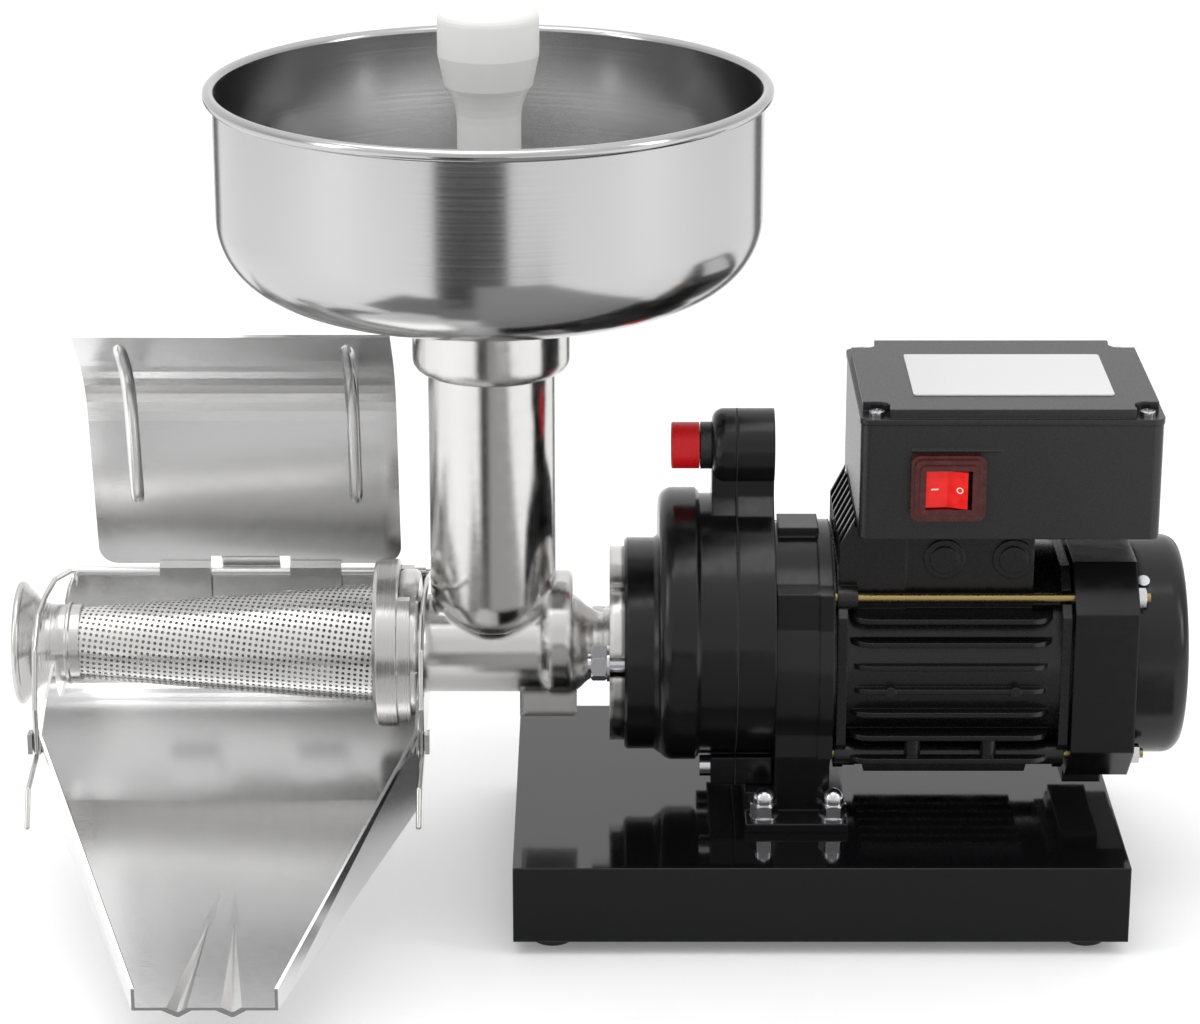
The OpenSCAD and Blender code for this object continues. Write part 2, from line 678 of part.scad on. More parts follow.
cone_screw_len = cone_end - spigot_end - 6;
cone_slope = (cone_big_r - cone_small_r) / (cone_len + web_t);
wide_screw_r = cone_big_r - cone_sheet - screw_gap - cone_slope * (spigot_end + 4 - lip_x);
narrow_scale = (wide_screw_r - cone_slope * cone_screw_len) / wide_screw_r;

module flight_section(r, core) {
    circle(core, $fn = 16);
    intersection() {
        circle(r, $fn = 72);
        polygon([[0, -flight_t / 2], [r + 1, -flight_t / 2 - 1], [r + 1, flight_t / 2 + 1], [0, flight_t / 2]]);
    }
}

module auger() color([0.93, 0.92, 0.88]) {
    on_axis(-spigot_end - 4) mirror([0, 0, 1])
        linear_extrude(cone_screw_len, twist = 360 * cone_turns, scale = narrow_scale, slices = 50, segments = 8)
            flight_section(wide_screw_r, core_r);
    on_axis(-spigot_end - 4.2) linear_extrude(
        spigot_end + 4.2 - bore_end - run_gap, twist = -360 * barrel_turns, slices = 22, segments = 8
    ) flight_section(screw_r, core_r);
    bar_x(-bore_end - 1, -1, journal_r);
    translate([-3, -drive_side / 2, axis_z - drive_side / 2]) cube([drive_len + 3, drive_side, drive_side]);
}

drive_len = 12;

// Drip tray, its bail and the splash cover

tray_mid = tray_right + tray_w / 2;
hem_z = axis_z + hem_rise;
hem_r = wire_r + fit_gap + 1;
bend_z = axis_z - bend_drop;
hook_z = axis_z - hook_drop;
floor_back_z = axis_z - 43;
trough_r = 14;
notch_r = 23;

// Points of the trough's inner face, from the back wall to the bend
function trough_line(t) = concat(
    [[tray_back - tray_sheet + t, hem_z]],
    arc(tray_back - tray_sheet - trough_r, floor_back_z + trough_r, trough_r + t, 0, -82, 8),
    [[-bend_y, bend_z - t]]
);

function reversed(p) = [for (i = [len(p) - 1:-1:0]) p[i]];

module trough_sheet() plate_x(-tray_right - tray_w - tray_sheet, -tray_right + tray_sheet)
    polygon(concat(trough_line(0), reversed(trough_line(tray_sheet))));

module side_wall(x) plate_x(x, x + tray_sheet) difference() {
    polygon(concat(
        [[tray_back, hem_z - 8], [tray_back - 8, hem_z]],
        [[tray_back - 20, hem_z], [-hook_y + 18, hook_z + 8], [-hook_y, hook_z], [-bend_y, bend_z - tray_sheet]],
        reversed(arc(tray_back - tray_sheet - trough_r, floor_back_z + trough_r, trough_r + tray_sheet, 0, -82, 8))
    ));
    translate([0, axis_z]) circle(notch_r);
    translate([-notch_r, axis_z]) square([2 * notch_r, 60]);
}

// One wall of the apron, from the hook forward to the spout
module apron_wall(side) {
    back_x = -tray_mid + side * (tray_w / 2 + tray_sheet / 2);
    tip_x = -tray_mid + side * (spout_w / 2 + tray_sheet / 2);
    t = tray_sheet;
    hull() {
        translate([back_x - t / 2, -hook_y, hook_z - t]) cube(t);
        translate([back_x - t / 2, -bend_y - t, bend_z - t]) cube(t);
        translate([tip_x - t / 2, -tray_reach, spout_z]) cube(t);
        translate([tip_x - t / 2, -tray_reach, spout_z + spout_wall]) cube(t);
    }
}

module apron_floor() {
    t = tray_sheet;
    hull() {
        translate([-tray_mid - tray_w / 2 - t / 2, -bend_y - 0.5, bend_z - t]) cube([tray_w + t, 0.5, t]);
        translate([-tray_mid - spout_w / 2 - t / 2, -tray_reach, spout_z]) cube([spout_w + t, 0.5, t]);
    }
}

// A flute that is pressed down into the apron and widens towards the spout
module flute(x_top, x_tip, drop, rise) {
    y_top = -tray_reach + 76;
    z_top = spout_z + (bend_z - spout_z) * 76 / (tray_reach - bend_y);
    hull() {
        translate([-tray_mid + x_top, y_top, z_top - 0.2]) cube([0.4, 0.4, tray_sheet]);
        translate([-tray_mid + x_tip, -tray_reach, spout_z - drop]) rotate([90, 0, 0]) mirror([0, 0, 1])
            linear_extrude(0.5) polygon([[-6.5, drop + rise], [0, 0], [1, 0], [6.5, drop + rise]]);
    }
}

module drip_tray() color([0.75, 0.75, 0.76]) difference() {
    union() {
        trough_sheet();
        side_wall(-tray_right);
        side_wall(-tray_right - tray_w - tray_sheet);
        for (side = [-1, 1]) apron_wall(side);
        apron_floor();
        for (f = flutes) flute(f[0], f[1], 2.8, 0.3);
        translate([0, tray_back - tray_sheet / 2, 0])
            bar_x(-tray_right - tray_w, -tray_right, hem_r, 0, hem_z);
        for (side = [-1, 1]) hook_tab(side);
    }
    translate([0, tray_back - tray_sheet / 2, 0])
        bar_x(-tray_right - tray_w - 5, -tray_right + 5, wire_r + fit_gap, 0, hem_z);
    for (f = flutes) translate([0, -0.1, tray_sheet + 0.4]) flute(f[0], f[1], 2.2, 1);
}

flutes = [[-1, -11], [5, 10]];
hook_out = 5.4;

// A forked tab that takes the bail's leg from the front
module hook_tab(side) {
    wall_x = -tray_mid + side * (tray_w / 2 + tray_sheet / 2);
    translate([wall_x + (side > 0 ? 0 : -hook_out), -hook_y + 0.4, hook_z - 9]) difference() {
        cube([hook_out, 6, 8.5]);
        translate([side > 0 ? leg_gap - run_gap : hook_out - leg_gap - 2 * wire_r - run_gap, -1, -1])
            cube([2 * wire_r + 2 * run_gap, 4.6, 12]);
    }
}

leg_gap = 1;

// The bail's leg, in Y and Z, from the rolled edge over the machine line to the free tail
leg_path = [
    [tray_back - tray_sheet / 2, hem_z], [8, axis_z + 25.4], [-20, axis_z + 28.5], [-42, axis_z + 28],
    [-56, axis_z + 18], [-hook_y + 2.4, hook_z + 10], [-hook_y + 2.4, hook_z - 10],
    [-hook_y - 24, hook_z - 14], [-hook_y - 32, hook_z - 27]
];

// A round bar between two points, with a ball at its far end
module bar_to(a, b, r) {
    d = b - a;
    translate(a) rotate([0, acos(d[2] / norm(d)), atan2(d[1], d[0])]) cylinder(h = norm(d), r = r, $fn = 32);
    translate(b) sphere(r = r + 0.04, $fn = 32);
}

module tray_bail() color([0.7, 0.7, 0.71]) {
    for (side = [-1, 1]) {
        x = -tray_mid + side * (tray_w / 2 + tray_sheet / 2 + leg_gap + wire_r);
        translate([x, each leg_path[0]]) sphere(r = wire_r + 0.04, $fn = 32);
        for (i = [0:len(leg_path) - 2])
            bar_to([x, each leg_path[i]], [x, each leg_path[i + 1]], wire_r);
    }
    span = tray_w / 2 + tray_sheet / 2 + leg_gap + wire_r;
    translate([0, leg_path[0][0], 0]) bar_x(-tray_mid - span, -tray_mid + span, wire_r, 0, hem_z);
}

cover_y = tray_back - tray_sheet / 2;
cover_z = hem_z + hem_r + 2;
tongue_w = 22.2;
tongue_in = 17.2;
tongue_len = 17;

// Centre line of the cover's section in Y and Z, moved by t to one side
function cover_line(t) =
    let (
        a = cover_lean, b = cover_lean + cover_turn,
        p1 = [cover_y - cover_flat * sin(a), cover_z + cover_flat * cos(a)],
        c = p1 + cover_bend * [-cos(a), -sin(a)],
        p2 = c + (cover_bend + t) * [cos(b), sin(b)]
    )
    concat(
        [[cover_y + t * cos(a), cover_z + t * sin(a)]],
        arc(c[0], c[1], cover_bend + t, a, b, 8),
        [p2 + cover_lip * [-sin(b), cos(b)]]
    );

module cover_sheet(x0, x1) plate_x(x0, x1) polygon(concat(cover_line(tray_sheet / 2), reversed(cover_line(-tray_sheet / 2))));

module splash_cover() color([0.76, 0.76, 0.77]) {
    front_y = cover_y - hem_r - run_gap - tray_sheet;
    difference() {
        cover_sheet(-tray_mid - cover_w / 2, -tray_mid + cover_w / 2);
        translate([-tray_mid - tongue_in, cover_y - 12, cover_z - 1]) cube([2 * tongue_in, 24, 4.5]);
        for (side = [-1, 1]) translate([-tray_mid + side * cover_w / 2, cover_y, cover_z]) rotate([90, 0, 0])
            difference() {
                cube([16, 16, 60], center = true);
                translate([-side * 8, 8, 0]) cylinder(h = 61, r = 8, center = true);
            }
    }
    for (side = [-1, 1]) {
        x0 = side > 0 ? tongue_in : -tongue_in - tongue_w;
        plate_x(-tray_mid + x0, -tray_mid + x0 + tongue_w) polygon([
            [front_y, hem_z - tongue_len], [front_y + tray_sheet, hem_z - tongue_len],
            [front_y + tray_sheet, hem_z + hem_r], [cover_y + tray_sheet / 2, cover_z + 0.6],
            [cover_y - tray_sheet / 2, cover_z + 1.4], [front_y, hem_z + hem_r + 0.8]
        ]);
    }
    plate_x(-tray_mid - 12.6, -tray_mid + 12.6) polygon([
        [cover_y - 1, cover_z + 3], [cover_y - 1.2, cover_z + 5], [cover_y - 0.3, cover_z + 5],
        [cover_y + hem_r + run_gap + tray_sheet, hem_z + hem_r],
        [cover_y + hem_r + run_gap + tray_sheet, hem_z - 8], [cover_y + hem_r + run_gap, hem_z - 8],
        [cover_y + hem_r + run_gap, hem_z + hem_r - 0.4]
    ]);
    for (side = [-1, 1]) cover_rib(-tray_mid + side * (cover_w / 2 - 18.5));
}

// Ends of the ribs above the cover's lower edge, along its straight part and up its lip
rib_start = 33;
rib_lip = 12;
rib_r = 2.6;

// A rib that is pressed into the cover: a round bar that follows the sheet, cut off at its back
module cover_rib(x) {
    a = cover_lean;
    b = cover_lean + cover_turn;
    start = [cover_y - rib_start * sin(a), cover_z + rib_start * cos(a)];
    centre = [cover_y - cover_flat * sin(a), cover_z + cover_flat * cos(a)] - cover_bend * [cos(a), sin(a)];
    bend = arc(centre[0], centre[1], cover_bend, a, b, 5);
    path = concat([start], bend, [bend[5] + rib_lip * [-sin(b), cos(b)]]);
    intersection() {
        union() {
            translate([x, start[0], start[1]]) sphere(r = rib_r, $fn = 32);
            for (i = [0:len(path) - 2]) bar_to([x, each path[i]], [x, each path[i + 1]], rib_r);
        }
        plate_x(x - rib_r - 1, x + rib_r + 1)
            polygon(concat(cover_line(tray_sheet / 2 - 0.1), reversed(cover_line(-rib_r + 1))));
    }
}

// Gears

function inv_deg(a) = tan(a) * 180 / PI - a;
function flank_turn(r, rb) = r <= rb ? 0 : inv_deg(acos(rb / r));

// Outline of one spur gear with involute flanks; a tooth points along the given angle
function gear_outline(z, shift, at) =
    let (
        m = gear_module,
        rp = m * z / 2,
        rb = rp * cos(pressure),
        ra = rp + m * (1 + shift) - 0.05 * m,
        rf = rp - m * (1.25 - shift),
        half = 90 / z + (2 * shift * tan(pressure) / z) * 180 / PI - backlash / 4 / rp * 180 / PI,
        low = max(rb, rf),
        n = 4
    )
    [for (k = [0:z - 1]) let (c = at + k * 360 / z) each concat(
        [rf * [cos(c - half - inv_deg(pressure) - 20 / z), sin(c - half - inv_deg(pressure) - 20 / z)]],
        [for (i = [0:n]) let (r = low + (ra - low) * i / n, a = c - half - inv_deg(pressure) + flank_turn(r, rb))
            r * [cos(a), sin(a)]],
        [for (i = [n:-1:0]) let (r = low + (ra - low) * i / n, a = c + half + inv_deg(pressure) - flank_turn(r, rb))
            r * [cos(a), sin(a)]],
        [rf * [cos(c + half + inv_deg(pressure) + 20 / z), sin(c + half + inv_deg(pressure) + 20 / z)]]
    )];

module spur(x, z_height, width, teeth, shift, at)
    on_axis(x, z_height) linear_extrude(width) polygon(gear_outline(teeth, shift, at));

key_w = 4;

module output_gear() color([0.55, 0.55, 0.57]) difference() {
    union() {
        spur(slow_x, axis_z, face_slow, teeth_4, -pinion_shift, 90 + 180 / teeth_4);
    }
    bar_x(slow_x - 1, slow_x + face_slow + 1, 10 + fit_gap);
    translate([slow_x - 1, -key_w / 2, axis_z]) cube([face_slow + 2, key_w, 12]);
    for (side = [-1, 1]) ring_bar(
        side < 0 ? slow_x - 1 : slow_x + face_slow - 2.5, side < 0 ? slow_x + 2.5 : slow_x + face_slow + 1, 19, 14
    );
}

module output_shaft() color([0.7, 0.7, 0.71]) difference() {
    union() {
        bar_x(-1, slow_x + face_slow + 1.5, 10);
        translate([slow_x + 0.5, -key_w / 2 + fit_gap, axis_z]) cube([face_slow - 1, key_w - 2 * fit_gap, 11.8]);
    }
    translate([-2, -drive_side / 2 - fit_gap, axis_z - drive_side / 2 - fit_gap])
        cube([drive_len + 3, drive_side + 2 * fit_gap, drive_side + 2 * fit_gap]);
}

// A ball bearing: two races with a shielded groove between them
module ball_bearing(x, w, r_out, r_in) {
    mid = (r_out + r_in) / 2;
    on_axis(x) rotate_extrude() polygon([
        [r_in, 0], [mid - 2.6, 0], [mid - 2.6, 0.7], [mid + 2.6, 0.7], [mid + 2.6, 0], [r_out, 0],
        [r_out, w], [mid + 2.6, w], [mid + 2.6, w - 0.7], [mid - 2.6, w - 0.7], [mid - 2.6, w], [r_in, w]
    ]);
}

out_bearing_r = 18.5;
out_bearing_w = 9;
out_bearings = [6, 18];

module output_bearings() color([0.62, 0.62, 0.64])
    for (x = out_bearings) ball_bearing(x, out_bearing_w, out_bearing_r, 10 + fit_gap);

module output_seal() color([0.12, 0.08, 0.06]) ring_bar(0.6, 5.4, 16, 10 + fit_gap);

module layshaft_pinion() color([0.58, 0.58, 0.6]) {
    bar_x(drum_end - 11, case_end - 1.6, lay_r, 0, lay_z);
    spur(slow_x, lay_z, face_slow + 1, teeth_3, pinion_shift, -90);
    bar_x(slow_x + face_slow + 1, fast_x - 0.1, lay_r + 2, 0, lay_z);
    translate([fast_x + 0.3, -1.5 + fit_gap, lay_z]) cube([face_fast - 0.6, 3 - 2 * fit_gap, lay_r + 1.4]);
}

module layshaft_gear() color([0.66, 0.58, 0.3]) difference() {
    spur(fast_x, lay_z, face_fast, teeth_2, -pinion_shift, -90 + 180 / teeth_2);
    bar_x(fast_x - 1, fast_x + face_fast + 1, lay_r + fit_gap, 0, lay_z);
    translate([fast_x - 1, -1.5, lay_z]) cube([face_fast + 2, 3, lay_r + 1.6]);
    for (a = [30:60:330]) translate([fast_x - 1, 0, lay_z]) rotate([a, 0, 0]) translate([0, 0, 15])
        rotate([0, 90, 0]) cylinder(h = face_fast + 2, r = 3.6);
}

bush_w = 5.4;
bush_xs = [drum_end - 11.2, fast_x + face_fast + 0.6];

module layshaft_bushes() color([0.7, 0.5, 0.25])
    for (x = bush_xs) ring_bar(x, x + bush_w, bush_r, lay_r + fit_gap, 0, lay_z);

// Gearcase

lug_points = [[-24, -46], [24, -46]];
lug_block = [60, 12];
lug_bottom = axis_z - 52;
lobe_round = 5;
screw_pts = [[34, 23], [-34, 23], [34, -23], [-34, -23]];
case_screw_r = 2.5;

module case_outline(r) {
    translate([0, case_z]) circle(r);
    translate([-9, case_z]) square([18, lobe_z - case_z]);
    polygon([[-20, case_z + 48], [20, case_z + 48], [9, case_z + r + 4.5], [-9, case_z + r + 4.5]]);
    translate([-lug_block[0] / 2, lug_bottom]) square(lug_block);
}

module lobe_outline() translate([0, lobe_z]) circle(lobe_r);

module case_cavity(x0, x1) bar_x(x0, x1, case_r - case_wall, 0, case_z);

// A pillar round each case screw, with a web to the wall
module pillar_shapes() for (p = screw_pts) translate([p[0], axis_z + p[1]]) {
    circle(6);
    rotate(atan2(p[1] - drum_rise, p[0])) translate([0, -4])
        square([case_r - 1 - norm([p[0], p[1] - drum_rise]), 8]);
}

module screw_pillars(x0, x1) plate_x(x0, x1) pillar_shapes();

module gearcase_front() color([0.06, 0.06, 0.065]) difference() {
    union() {
        on_axis() rotate_extrude() polygon([
            [0, 0], [boss_r - 1.2, 0], [boss_r, 1.2], [boss_r, boss_len - 2], [boss_r + 2, boss_len + 1], [0, boss_len + 1]
        ]);
        on_axis(boss_len, case_z) rotate_extrude() polygon([
            [0, 0], each arc(drum_r - 6, 6, 6, -90, 0, 8), [drum_r, drum_end - boss_len - 1.5],
            [drum_r - 1.5, drum_end - boss_len], [0, drum_end - boss_len]
        ]);
        bar_x(drum_end - 1, case_split, case_r, 0, case_z);
        plate_x(lobe_x, case_split) case_outline(case_r - 1);
        on_axis(lobe_x, lobe_z) rotate_extrude() polygon([
            [0, 0], each arc(lobe_r - lobe_round, lobe_round, lobe_round, -90, 0, 6),
            [lobe_r, case_split - lobe_x], [0, case_split - lobe_x]
        ]);
        ring_bar(cap_x, lobe_x + 0.1, cap_r - 0.9, 6, 0, lobe_z);
    }
    difference() {
        case_cavity(boss_len + 4.3, case_split + 1);
        bar_x(boss_len, hub_end, out_bearing_r + 4.5);
        bar_x(boss_len, bush_xs[0] + bush_w + 0.4, bush_r + 3.4, 0, lay_z);
        screw_pillars(boss_len, case_split + 2);
    }
    bar_x(out_bearings[0], hub_end + 1, out_bearing_r + fit_gap);
    bar_x(-1, out_bearings[0] + 0.1, 16 + fit_gap);
    bar_x(bush_xs[0], bush_xs[0] + bush_w + 1, bush_r + fit_gap, 0, lay_z);
    for (p = screw_pts) bar_x(24, case_split + 1, case_screw_r + fit_gap, p[0], axis_z + p[1]);
    for (p = lug_points) bar_x(lobe_x - 1, case_split + 1, case_screw_r + fit_gap, p[0], axis_z + p[1]);
    stud_points(-1) cylinder(h = stud_depth + 1.5, r = stud_r + fit_gap);
    bar_x(cap_x - 1, case_split - 2, 5, 0, lobe_z);
    translate([lobe_x + 5, 0, case_z + case_r - 8]) cylinder(h = lobe_z - case_z - case_r + 8, r = 3.5);
}

module gearcase_rear() color([0.06, 0.06, 0.065]) difference() {
    x0 = case_split + gasket_t;
    plate_x(x0, case_end) {
        case_outline(case_r);
        lobe_outline();
    }
    difference() {
        case_cavity(x0 - 1, case_end - 5);
        bar_x(bush_xs[1], case_end, bush_r + 3.4, 0, lay_z);
        screw_pillars(x0 - 2, case_end);
    }
    bar_x(case_end - 6, case_end + 1, 10);
    bar_x(case_end - 4.6, case_end + 1, 12.5 + fit_gap);
    bar_x(bush_xs[1] - 1, bush_xs[1] + bush_w, bush_r + fit_gap, 0, lay_z);
    for (p = screw_pts) bar_x(x0 - 1, case_end + 1, case_screw_r + run_gap, p[0], axis_z + p[1]);
    for (p = lug_points) bar_x(x0 - 1, case_end - 4, case_screw_r + fit_gap, p[0], axis_z + p[1]);
}

module gearcase_gasket() color([0.2, 0.2, 0.18]) plate_x(case_split, case_split + gasket_t) difference() {
    union() {
        case_outline(case_r);
        lobe_outline();
    }
    difference() {
        translate([0, case_z]) circle(case_r - case_wall);
        pillar_shapes();
    }
    for (p = concat(screw_pts, lug_points)) translate([p[0], axis_z + p[1]]) circle(case_screw_r + run_gap);
}

web_x = case_end + 4;

module gearcase_screws() color([0.3, 0.3, 0.32]) {
    for (p = screw_pts) {
        bar_x(26, web_x, case_screw_r, p[0], axis_z + p[1]);
        difference() {
            bar_x(web_x, web_x + 5, 4.4, p[0], axis_z + p[1]);
            translate([web_x + 2.4, p[0], axis_z + p[1]]) rotate([0, 90, 0]) cylinder(h = 4, r = 2.2, $fn = 6);
        }
    }
    for (p = lug_points) {
        bar_x(lobe_x - 1, case_end - 5, case_screw_r, p[0], axis_z + p[1]);
        difference() {
            bar_x(lobe_x - 4.6, lobe_x, 4.4, p[0], axis_z + p[1]);
            translate([lobe_x - 5, p[0], axis_z + p[1]]) rotate([0, 90, 0]) cylinder(h = 2.8, r = 2.2, $fn = 6);
        }
    }
}

cap_x = lobe_x - 4.9;

module oil_collar() color([0.07, 0.07, 0.075]) ring_bar(cap_x + 0.2, lobe_x, cap_r + 0.1, cap_r - 0.85, 0, lobe_z);

module oil_cap() color([0.8, 0.06, 0.08]) on_axis(cap_x - cap_len, lobe_z) rotate_extrude() polygon([
    [0, 0.8], [cap_r - 1.6, 0.8], [cap_r - 1.2, 0], [cap_r - 0.4, 0], [cap_r, 0.5], [cap_r, cap_len - 0.3],
    [5.6, cap_len - 0.3], [5.6, 3], [0, 3]
]);

// Motor

rotor_x = motor_x + 24;

module octagon(half, cut) polygon([for (q = [0:3]) each [
    [for (s = [0, 1]) let (a = half, b = half - cut, p = s == 0 ? [a, b] : [b, a])
        [p[0] * cos(90 * q) - p[1] * sin(90 * q), p[0] * sin(90 * q) + p[1] * cos(90 * q)]
    ]
][0]]);

module rods() for (sy = [-1, 1], sz = [-1, 1]) translate([0, sy * rod_y, sz * rod_z]) children();

foot_x = mount_x[0] - 7.7;

// The square part of the front end shield, in Y and Z, with the ears of the tie rods
module block_outline(half)
    translate([-half, axis_z - 33.5]) square([2 * half, block_rise + 33.5]);

module front_end_shield() color([0.06, 0.06, 0.065]) difference() {
    union() {
        bar_x(case_end, motor_x, adapter_r);
        bar_x(motor_x - 6, motor_x, adapter_r + 1);
        plate_x(case_end + 0.4, motor_x - 6) block_outline(block_half);
        plate_x(motor_x - 6.2, motor_x) block_outline(block_half + 1.2);
        translate([case_end + 2, -9, axis_z]) cube([16.7, 18, adapter_r + 3.2]);
        translate([foot_x, -38, base_top + 1]) cube([case_end - foot_x + 1, 76, lug_bottom - run_gap - base_top - 1]);
        plate_x(case_end + 0.6, motor_x - 0.6) polygon([
            [-38, base_top + 1], [38, base_top + 1], [41, axis_z - 30], [adapter_r - 4, axis_z - 18],
            [-adapter_r + 4, axis_z - 18], [-41, axis_z - 30]
        ]);
        translate([foot_x, -foot_plate_d / 2, base_top])
            cube([foot_plate_w, foot_plate_d, foot_plate_t]);
    }
    difference() {
        bar_x(web_x, motor_x + 1, adapter_r - 5);
        bar_x(case_end, web_x + bearing_w + 2, bearing_r + 4);
    }
    bar_x(case_end - 1, motor_x, shaft_r + 1.5);
    bar_x(web_x, motor_x, bearing_r + fit_gap);
    for (p = screw_pts) bar_x(case_end - 1, web_x + 1, case_screw_r + run_gap, p[0], axis_z + p[1]);
    plate_x(web_x + 2, motor_x + 1) polygon([
        [-32, base_top + foot_plate_t + 3], [32, base_top + foot_plate_t + 3], [32, axis_z - 42], [-32, axis_z - 42]
    ]);
    rods() bar_x(motor_x - 4.5, motor_x + 1, rod_r + fit_gap);
    mount_points() translate([0, 0, base_top - 1]) cylinder(h = foot_plate_t + 2, r = mount_bolt_r + fit_gap);
}

fin_levels = [-3:3];
fin_mid = axis_z - 3.5;
fin_x0 = motor_x + 6.5;
fin_x1 = shield_x - 8.5;
post_r = 44.5;
pedestal_x = [motor_x + 28.7, motor_x + 82];

// A cooling fin seen from above, with rounded ends
module fin_shape() {
    translate([fin_x0 + 9, -shield_half]) square([fin_x1 - fin_x0 - 18, 2 * shield_half]);
    for (sy = [-1, 1], p = [[fin_x0 + 9, 1], [fin_x1 - 9, -1]]) translate([p[0], sy * (shield_half - 9)]) intersection() {
        circle(9);
        translate([p[1] > 0 ? -9 : 0, sy > 0 ? 0 : -9]) square(9);
    }
    translate([fin_x0, -shield_half + 9]) square([fin_x1 - fin_x0, 2 * shield_half - 18]);
}

module motor_housing() color([0.05, 0.05, 0.055]) difference() {
    union() {
        bar_x(motor_x, shield_x, post_r);
        for (i = fin_levels) translate([0, 0, fin_mid + i * fin_pitch - fin_t / 2]) linear_extrude(fin_t) fin_shape();
        for (x = [motor_x + 1.5, shield_x - 5], w = [4]) plate_x(x, x + w) translate([0, axis_z]) octagon(shield_half - 2.5, shield_cut);
        for (y = [-34:8.5:34]) plate_y(y - fin_t / 2, y + fin_t / 2) polygon([
            [motor_x + 2, axis_z + 28], [motor_x + 2, axis_z + 56], [box_x - 0.6, axis_z + 68],
            [box_x - 0.6, box_z - 0.4], [pedestal_x[0] + 1, box_z - 0.4], [pedestal_x[0] + 1, axis_z + 28]
        ]);
        for (y = [-25.5:8.5:25.5]) plate_y(y - fin_t / 2, y + fin_t / 2) polygon([
            [fin_x0 + 4, axis_z - 30], [fin_x0 + 8, axis_z - shield_half], [fin_x1 - 8, axis_z - shield_half],
            [fin_x1 - 4, axis_z - 30]
        ]);
        rods() bar_x(motor_x + 1.2, motor_x + 9.6, rod_r + 3);
        for (sy = [-1, 1]) bar_x(motor_x + 1.2, shield_x - 2, rod_r + 2.6, sy * rod_y, axis_z - rod_z);
        translate([pedestal_x[0], -34, axis_z + 20]) cube([pedestal_x[1] - pedestal_x[0], 68, box_rise - 20]);
        for (x = [pedestal_x[0] + 16.3, pedestal_x[0] + 44.6]) translate([x, -34, axis_z + 50.3]) rotate([90, 0, 0]) {
            cylinder(h = 1.6, r = 8.4);
            cylinder(h = 2.8, r = 5.8);
        }
        for (x = [motor_x + 23.5, motor_x + 75], sy = [-1, 1]) translate([x, sy * (shield_half - 1), fin_mid])
            rotate([90, 0, 0]) cylinder(h = 3.4, r = 2.3, center = true);
        for (x = [motor_x + 33.4, motor_x + 64.8]) for (sy = [-1, 1])
            translate([x, sy * (shield_half - 5), fin_mid - 3 * fin_pitch]) cylinder(h = fin_pitch, r = 3.4);
    }
    bar_x(motor_x - 1, shield_x + 1, stator_r + fit_gap);
    translate([pedestal_x[0] + 8, -24, axis_z + 30]) cube([pedestal_x[1] - pedestal_x[0] - 16, 48, 60]);
    rods() bar_x(motor_x - 1, shield_x + 1, rod_r + 1);
}

module rear_end_shield() color([0.06, 0.06, 0.065]) difference() {
    union() {
        plate_x(shield_x, cowl_x) translate([0, axis_z]) octagon(shield_half, shield_cut);
        bar_x(shield_x, cowl_x + 5, cowl_r - 1.2 - fit_gap);
        translate([shield_x, -24, axis_z - shield_half - 6]) cube([16, 48, 8]);
    }
    bar_x(shield_x - 1, shield_x + 4.5, stator_r + fit_gap);
    difference() {
        bar_x(shield_x + 4, cowl_x - 8, stator_r - 4);
        bar_x(shield_x + 4, cowl_x, bearing_r + 4);
    }
    difference() {
        bar_x(cowl_x - 3, cowl_x + 6, stator_r - 2);
        bar_x(cowl_x - 4, cowl_x - 1, bearing_r + 4);
    }
    bar_x(shield_x + 4, cowl_x + 6, shaft_r + 1.5);
    bar_x(shield_x + 4, rear_bearing_x + bearing_w, bearing_r + fit_gap);
    rods() bar_x(shield_x - 1, cowl_x + 1, rod_r + fit_gap);
    cowl_screw_points(cowl_r - 12) cylinder(h = 20, r = 1.5 + fit_gap);
}

rear_bearing_x = shield_x + 5;

module motor_bearings() color([0.62, 0.62, 0.64])
    for (x = [web_x + 0.2, rear_bearing_x]) ball_bearing(x, bearing_w, bearing_r, shaft_r + fit_gap);

module motor_seal() color([0.12, 0.08, 0.06]) ring_bar(case_end - 4.4, case_end - 0.2, 12.5, shaft_r + fit_gap);

module stator_core() color([0.45, 0.45, 0.47]) on_axis(rotor_x) linear_extrude(core_len) difference() {
    circle(stator_r);
    circle(rotor_r + air_gap);
    for (a = [0:15:345]) rotate(a) {
        translate([rotor_r - 1, -1]) square([5, 2]);
        translate([rotor_r + 2.4, -1.9]) square([8.6, 3.8]);
    }
}

coil_len = 13;

module stator_windings() color([0.62, 0.3, 0.12]) {
    for (x = [rotor_x - coil_len, rotor_x + core_len]) on_axis(x) rotate_extrude() polygon([
        [rotor_r + 2.6, 0], [rotor_r + 12, 0], [rotor_r + 12.6, 2], [rotor_r + 12.6, coil_len - 2],
        [rotor_r + 11, coil_len], [rotor_r + 4, coil_len], [rotor_r + 2.6, coil_len - 2]
    ]);
    for (a = [0:15:345]) on_axis(rotor_x - 0.5) rotate(a) translate([rotor_r + 2.8, -1.6, 0]) cube([7.8, 3.2, core_len + 1]);
}

module rotor_core() color([0.5, 0.5, 0.52]) {
    ring_bar(rotor_x, rotor_x + core_len, rotor_r, shaft_r + 1 + fit_gap);
    for (x = [rotor_x - 3, rotor_x + core_len]) ring_bar(x, x + 3, rotor_r - 1.5, shaft_r + 3);
    for (x = [rotor_x - 6, rotor_x + core_len + 2.8], a = [0:30:330]) on_axis(x) rotate(a)
        translate([rotor_r - 7.5, -1, 0]) cube([5, 2, 3.2]);
}

pinion_core_r = 4;
fan_x = cowl_x + 4;

